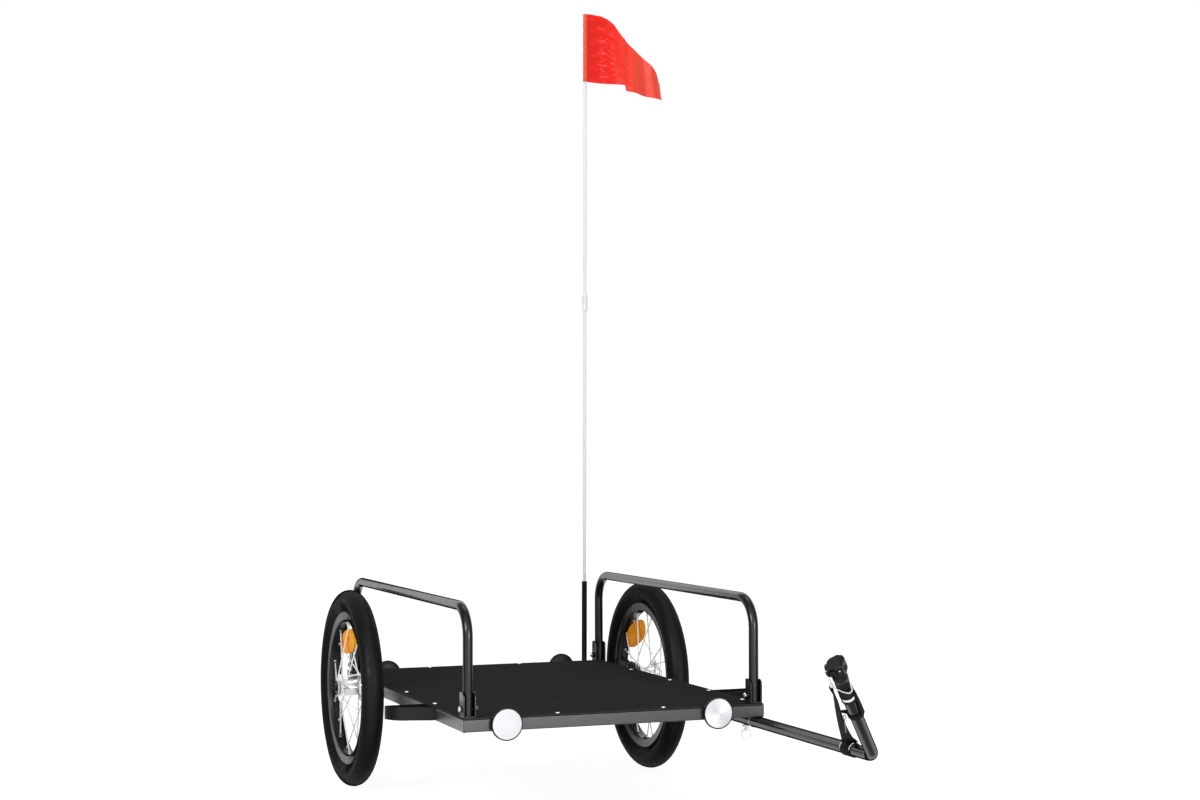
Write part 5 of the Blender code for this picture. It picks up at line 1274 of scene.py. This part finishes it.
def build_strap():
    """The safety strap: a webbing ribbon that twists from edge-on to flat, and its turn round the arm."""
    points = strap_route()
    last = len(points) - 1
    corner = [(1, -0.6), (1, 0.6), (0.94, 1), (-0.94, 1), (-1, 0.6), (-1, -0.6), (-0.94, -1), (0.94, -1)]
    shape = bmesh.new()
    rings = []
    for index, point in enumerate(points):
        ahead = (points[min(index + 1, last)] - points[max(index - 1, 0)]).normalized()
        share = index / last
        turn = Matrix.Rotation(STRAP_TWIST * (1 - share) ** 1.5, 3, ahead)
        wide = turn @ Z_AXIS.cross(ahead).normalized()
        thick = ahead.cross(wide).normalized() * STRAP_THICKNESS / 2
        wide *= STRAP_HALF_AT_HITCH + (STRAP_HALF_AT_ARM - STRAP_HALF_AT_HITCH) * share
        rings.append(add_ring(shape, [point + wide * a + thick * b for a, b in corner]))
    skin(shape, rings)
    wrap = [(ARM_RADIUS + 0.0003, WRAP_HALF), (ARM_RADIUS + 0.0013, WRAP_HALF)]
    wrap.append((ARM_RADIUS + 0.0018, WRAP_HALF - 0.0008))
    turned(shape, mirrored(wrap), axis_place(at(ARM_X, WRAP_Y, ARM_Z), Y_AXIS), 40, True)
    piece = finish_piece("safety_strap_web", shape, WEBBING, None, ("safety_strap",), 50.0)
    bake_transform(piece)
    edges = bmesh.new()
    start, sweep = radians(105), radians(70)
    for y in (WRAP_Y - WRAP_HALF - 0.0006, WRAP_Y + WRAP_HALF + 0.0006):
        thread = arc((ARM_X, ARM_Z), ARM_RADIUS + 0.0018, start, start + sweep, 12)
        tube(edges, [at(x, y, z) for x, z in thread], 0.0007, 8)
    finish_piece("strap_edge_cord", edges, STITCH, "frame")


# Flag mast


def mast_place(z=0.0):
    lean = spin(MAST_LEAN, "Y")
    return Matrix.Translation(at(MAST_X, MAST_Y, 0)) @ lean @ shift(0, 0, z)


def build_mast():
    holder = [
        (0.0, 0.1930), (0.0049, 0.1930), (0.0058, 0.1936), (0.0058, 0.3885), (0.0061, 0.3890),
        (0.0061, 0.3918), (0.0052, 0.3925), (0.0039, 0.3925), (0.0039, 0.1985), (0.0, 0.1985),
    ]
    shape = bmesh.new()
    turned(shape, holder, mast_place(), 40)
    tab = Matrix.Translation(at(MAST_X, FRAME_REAR_Y + 0.0020, FRAME_BOTTOM_Z + BEAM_SIZE / 2))
    prism(shape, rectangle(0.018, 0.0034), tab, 0.016)
    finish_piece("flag_holder_tube", shape, MOULDING, "frame", ("flag_holder",))
    for name, low, high in (("lower", POLE_FOOT_Z, FERRULE_Z), ("upper", FERRULE_Z, POLE_TOP_Z)):
        rod = [(0.0, low), (POLE_RADIUS - 0.0004, low), (POLE_RADIUS, low + 0.0005)]
        rod += [(POLE_RADIUS, high - 0.0005), (POLE_RADIUS - 0.0004, high), (0.0, high)]
        turned_piece(f"flag_pole_{name}_rod", rod, mast_place(), 32, ROD, "mast", (f"flag_pole_{name}",))
    half = [(0.0039, 0.018), (0.0056, 0.018), (0.0064, 0.0172), (0.0064, 0.0150), (0.0059, 0.0140)]
    seat = mast_place(FERRULE_Z)
    turned_piece("pole_ferrule_sleeve", mirrored(half), seat, 40, ROD, "mast", ("pole_ferrule",), True)


def edge_height(edge, reach):
    for (x0, z0), (x1, z1) in zip(edge, edge[1:]):
        if reach <= x1:
            return z0 + (z1 - z0) * (reach - x0) / (x1 - x0)
    return edge[-1][1]


def flag_fold(reach, drop):
    """How far the cloth stands off its plane: two long waves, fine creases by the pole and one sharp fold."""
    share = reach / FLAG_REACH
    turn = 2 * pi * share
    deep = 0.011 * sin(1.175 * turn + 0.9 * drop) * min(1.0, share * 4)
    light = 0.006 * sin(3.25 * turn - 1.2 * drop) * share
    near_pole = exp(-((share - 0.25) / 0.2) ** 2)
    crease = 0.0024 * sin(34 * drop + 11 * share + 1.6 * sin(5 * share)) * near_pole
    wrinkle = 0.0009 * sin(71 * drop - 17 * share) * near_pole
    fold = 0.004 * (1 + tanh((share - FLAG_FOLD) / 0.014))
    return deep + light + crease + wrinkle + fold


def cloth_piece(name, shape, material, offset, replaced=()):
    piece = finish_piece(name, shape, material, "mast", replaced, 70.0)
    thick = piece.modifiers.new("cloth", "SOLIDIFY")
    thick.thickness = CLOTH_THICKNESS
    thick.offset = offset
    return piece


def build_flag():
    """The pennant: a thin sheet with its folds, and the sleeve that holds it on the pole."""
    place = mast_place()
    shape = bmesh.new()
    columns = []
    for column in range(FLAG_COLUMNS):
        reach = FLAG_START + (FLAG_REACH - FLAG_START) * column / (FLAG_COLUMNS - 1)
        top = edge_height(FLAG_TOP_EDGE, reach)
        bottom = edge_height(FLAG_BOTTOM_EDGE, reach)
        drops = [row / (FLAG_ROWS - 1) for row in range(FLAG_ROWS)]
        points = [Vector((reach, flag_fold(reach, drop), top + (bottom - top) * drop)) for drop in drops]
        columns.append(add_ring(shape, [place @ point for point in points]))
    for first, second in zip(columns, columns[1:]):
        bridge(shape, first, second, False)
    area = sum(face.calc_area() for face in shape.faces)
    hem = build_flag_hem(place)
    piece = cloth_piece("flag_pennant", shape, NYLON, 0, ("flag",))


def build_flag_hem(place):
    """The sleeve sewn round the pole along the flag's short side."""
    top, bottom = FLAG_TOP_EDGE[0][1], FLAG_BOTTOM_EDGE[0][1]
    shape = bmesh.new()
    outlines = []
    for row in range(HEM_ROWS + 1):
        z = top + (bottom - top) * row / HEM_ROWS
        reach = HEM_RADIUS * (1 + 0.05 * sin(row * 1.9))
        outlines.append([(reach * c, reach * s, z) for c, s in circle(20)])
    loft(shape, outlines, place, capped=False)
    return cloth_piece("flag_hem", shape, HEM_NYLON, -1)


# Stage


def build_camera():
    data = bpy.data.cameras.new("photo_view")
    data.sensor_width = CAMERA_SENSOR
    data.lens = CAMERA_LENS
    data.shift_y = CAMERA_SHIFT_Y
    data.clip_start, data.clip_end = CAMERA_RANGE
    turn = Vector(CAMERA_LOOK).to_track_quat("-Z", "Y").to_matrix() @ Matrix.Rotation(CAMERA_ROLL, 3, "Z")
    place = Matrix.Translation(at(*CAMERA_PLACE)) @ turn.to_4x4()
    bpy.context.scene.camera = add_object("photo_view", data, place)


def area_light(name, place, target, size, power):
    data = bpy.data.lights.new(name, "AREA")
    data.shape = "RECTANGLE"
    data.size, data.size_y = size
    data.energy = power
    aim = (at(*target) - at(*place)).to_track_quat("-Z", "Y").to_matrix().to_4x4()
    add_object(name, data, Matrix.Translation(at(*place)) @ aim)


def seen_rays(tree):
    """One for the rays that reach the eye: straight ones, mirrored ones and those through glass."""
    rays = tree.nodes.new("ShaderNodeLightPath").outputs
    seen = maths(tree, "MAXIMUM", rays["Is Camera Ray"], rays["Is Glossy Ray"])
    return maths(tree, "MAXIMUM", seen, rays["Is Transmission Ray"])


def end_in_mix(tree, kind, share, first, second):
    """End a material or world tree in a mix of two shader nodes."""
    mix = new_node(tree, "MixShader", {"Fac": share, 1: first.outputs[0], 2: second.outputs[0]})
    new_node(tree, kind, {"Surface": mix.outputs["Shader"]})


def build_stage():
    mesh = bpy.data.meshes.new("floor")
    corners = rectangle(2 * FLOOR_REACH, 2 * FLOOR_REACH)
    mesh.from_pydata([at(x, y, 0.0) for x, y in corners], [], [(0, 1, 2, 3)])
    add_object("floor", mesh)
    material = bpy.data.materials.new("pale_floor")
    material.use_nodes = True
    tree = material.node_tree
    tree.nodes.clear()
    diffuse = new_node(tree, "BsdfDiffuse", {"Color": (0.9, 0.9, 0.9, 1.0)})
    glow = new_node(tree, "Emission", {"Color": (1.0, 1.0, 1.0, 1.0), "Strength": FLOOR_GLOW})
    share = maths(tree, "MULTIPLY", seen_rays(tree), FLOOR_GLOW_SHARE)
    end_in_mix(tree, "OutputMaterial", share, diffuse, glow)
    mesh.materials.append(material)


def build_world():
    world = bpy.data.worlds.new("studio")
    bpy.context.scene.world = world
    world.use_nodes = True
    tree = world.node_tree
    tree.nodes.clear()
    soft = new_node(tree, "Background", {"Color": (0.95, 0.97, 1.0, 1.0), "Strength": WORLD_STRENGTH})
    white = new_node(tree, "Background", {"Color": (1.0, 1.0, 1.0, 1.0), "Strength": 1.0})
    end_in_mix(tree, "OutputWorld", seen_rays(tree), soft, white)


def build_lights():
    area_light("key", (-3.4, -2.6, 2.2), (0.0, -0.4, 0.4), (1.6, 1.0), 84.0)
    area_light("front", (0.75, -4.6, 0.9), (0.0, -0.5, 0.3), (2.0, 1.2), 60.0)
    area_light("top", (0.3, 0.2, 4.0), (0.0, -0.3, 0.2), (2.2, 1.0), 72.0)
    bpy.context.scene.view_settings.view_transform = "Standard"


build_camera()
build_frame()
build_wheel_sides()
build_hoops()
build_frame_reflectors()
build_tow_arm()
build_collar()
build_boot()
build_sleeve()
build_head()
build_bail()
build_tie()
build_strap()
build_mast()
build_flag()
build_stage()
build_world()
build_lights()
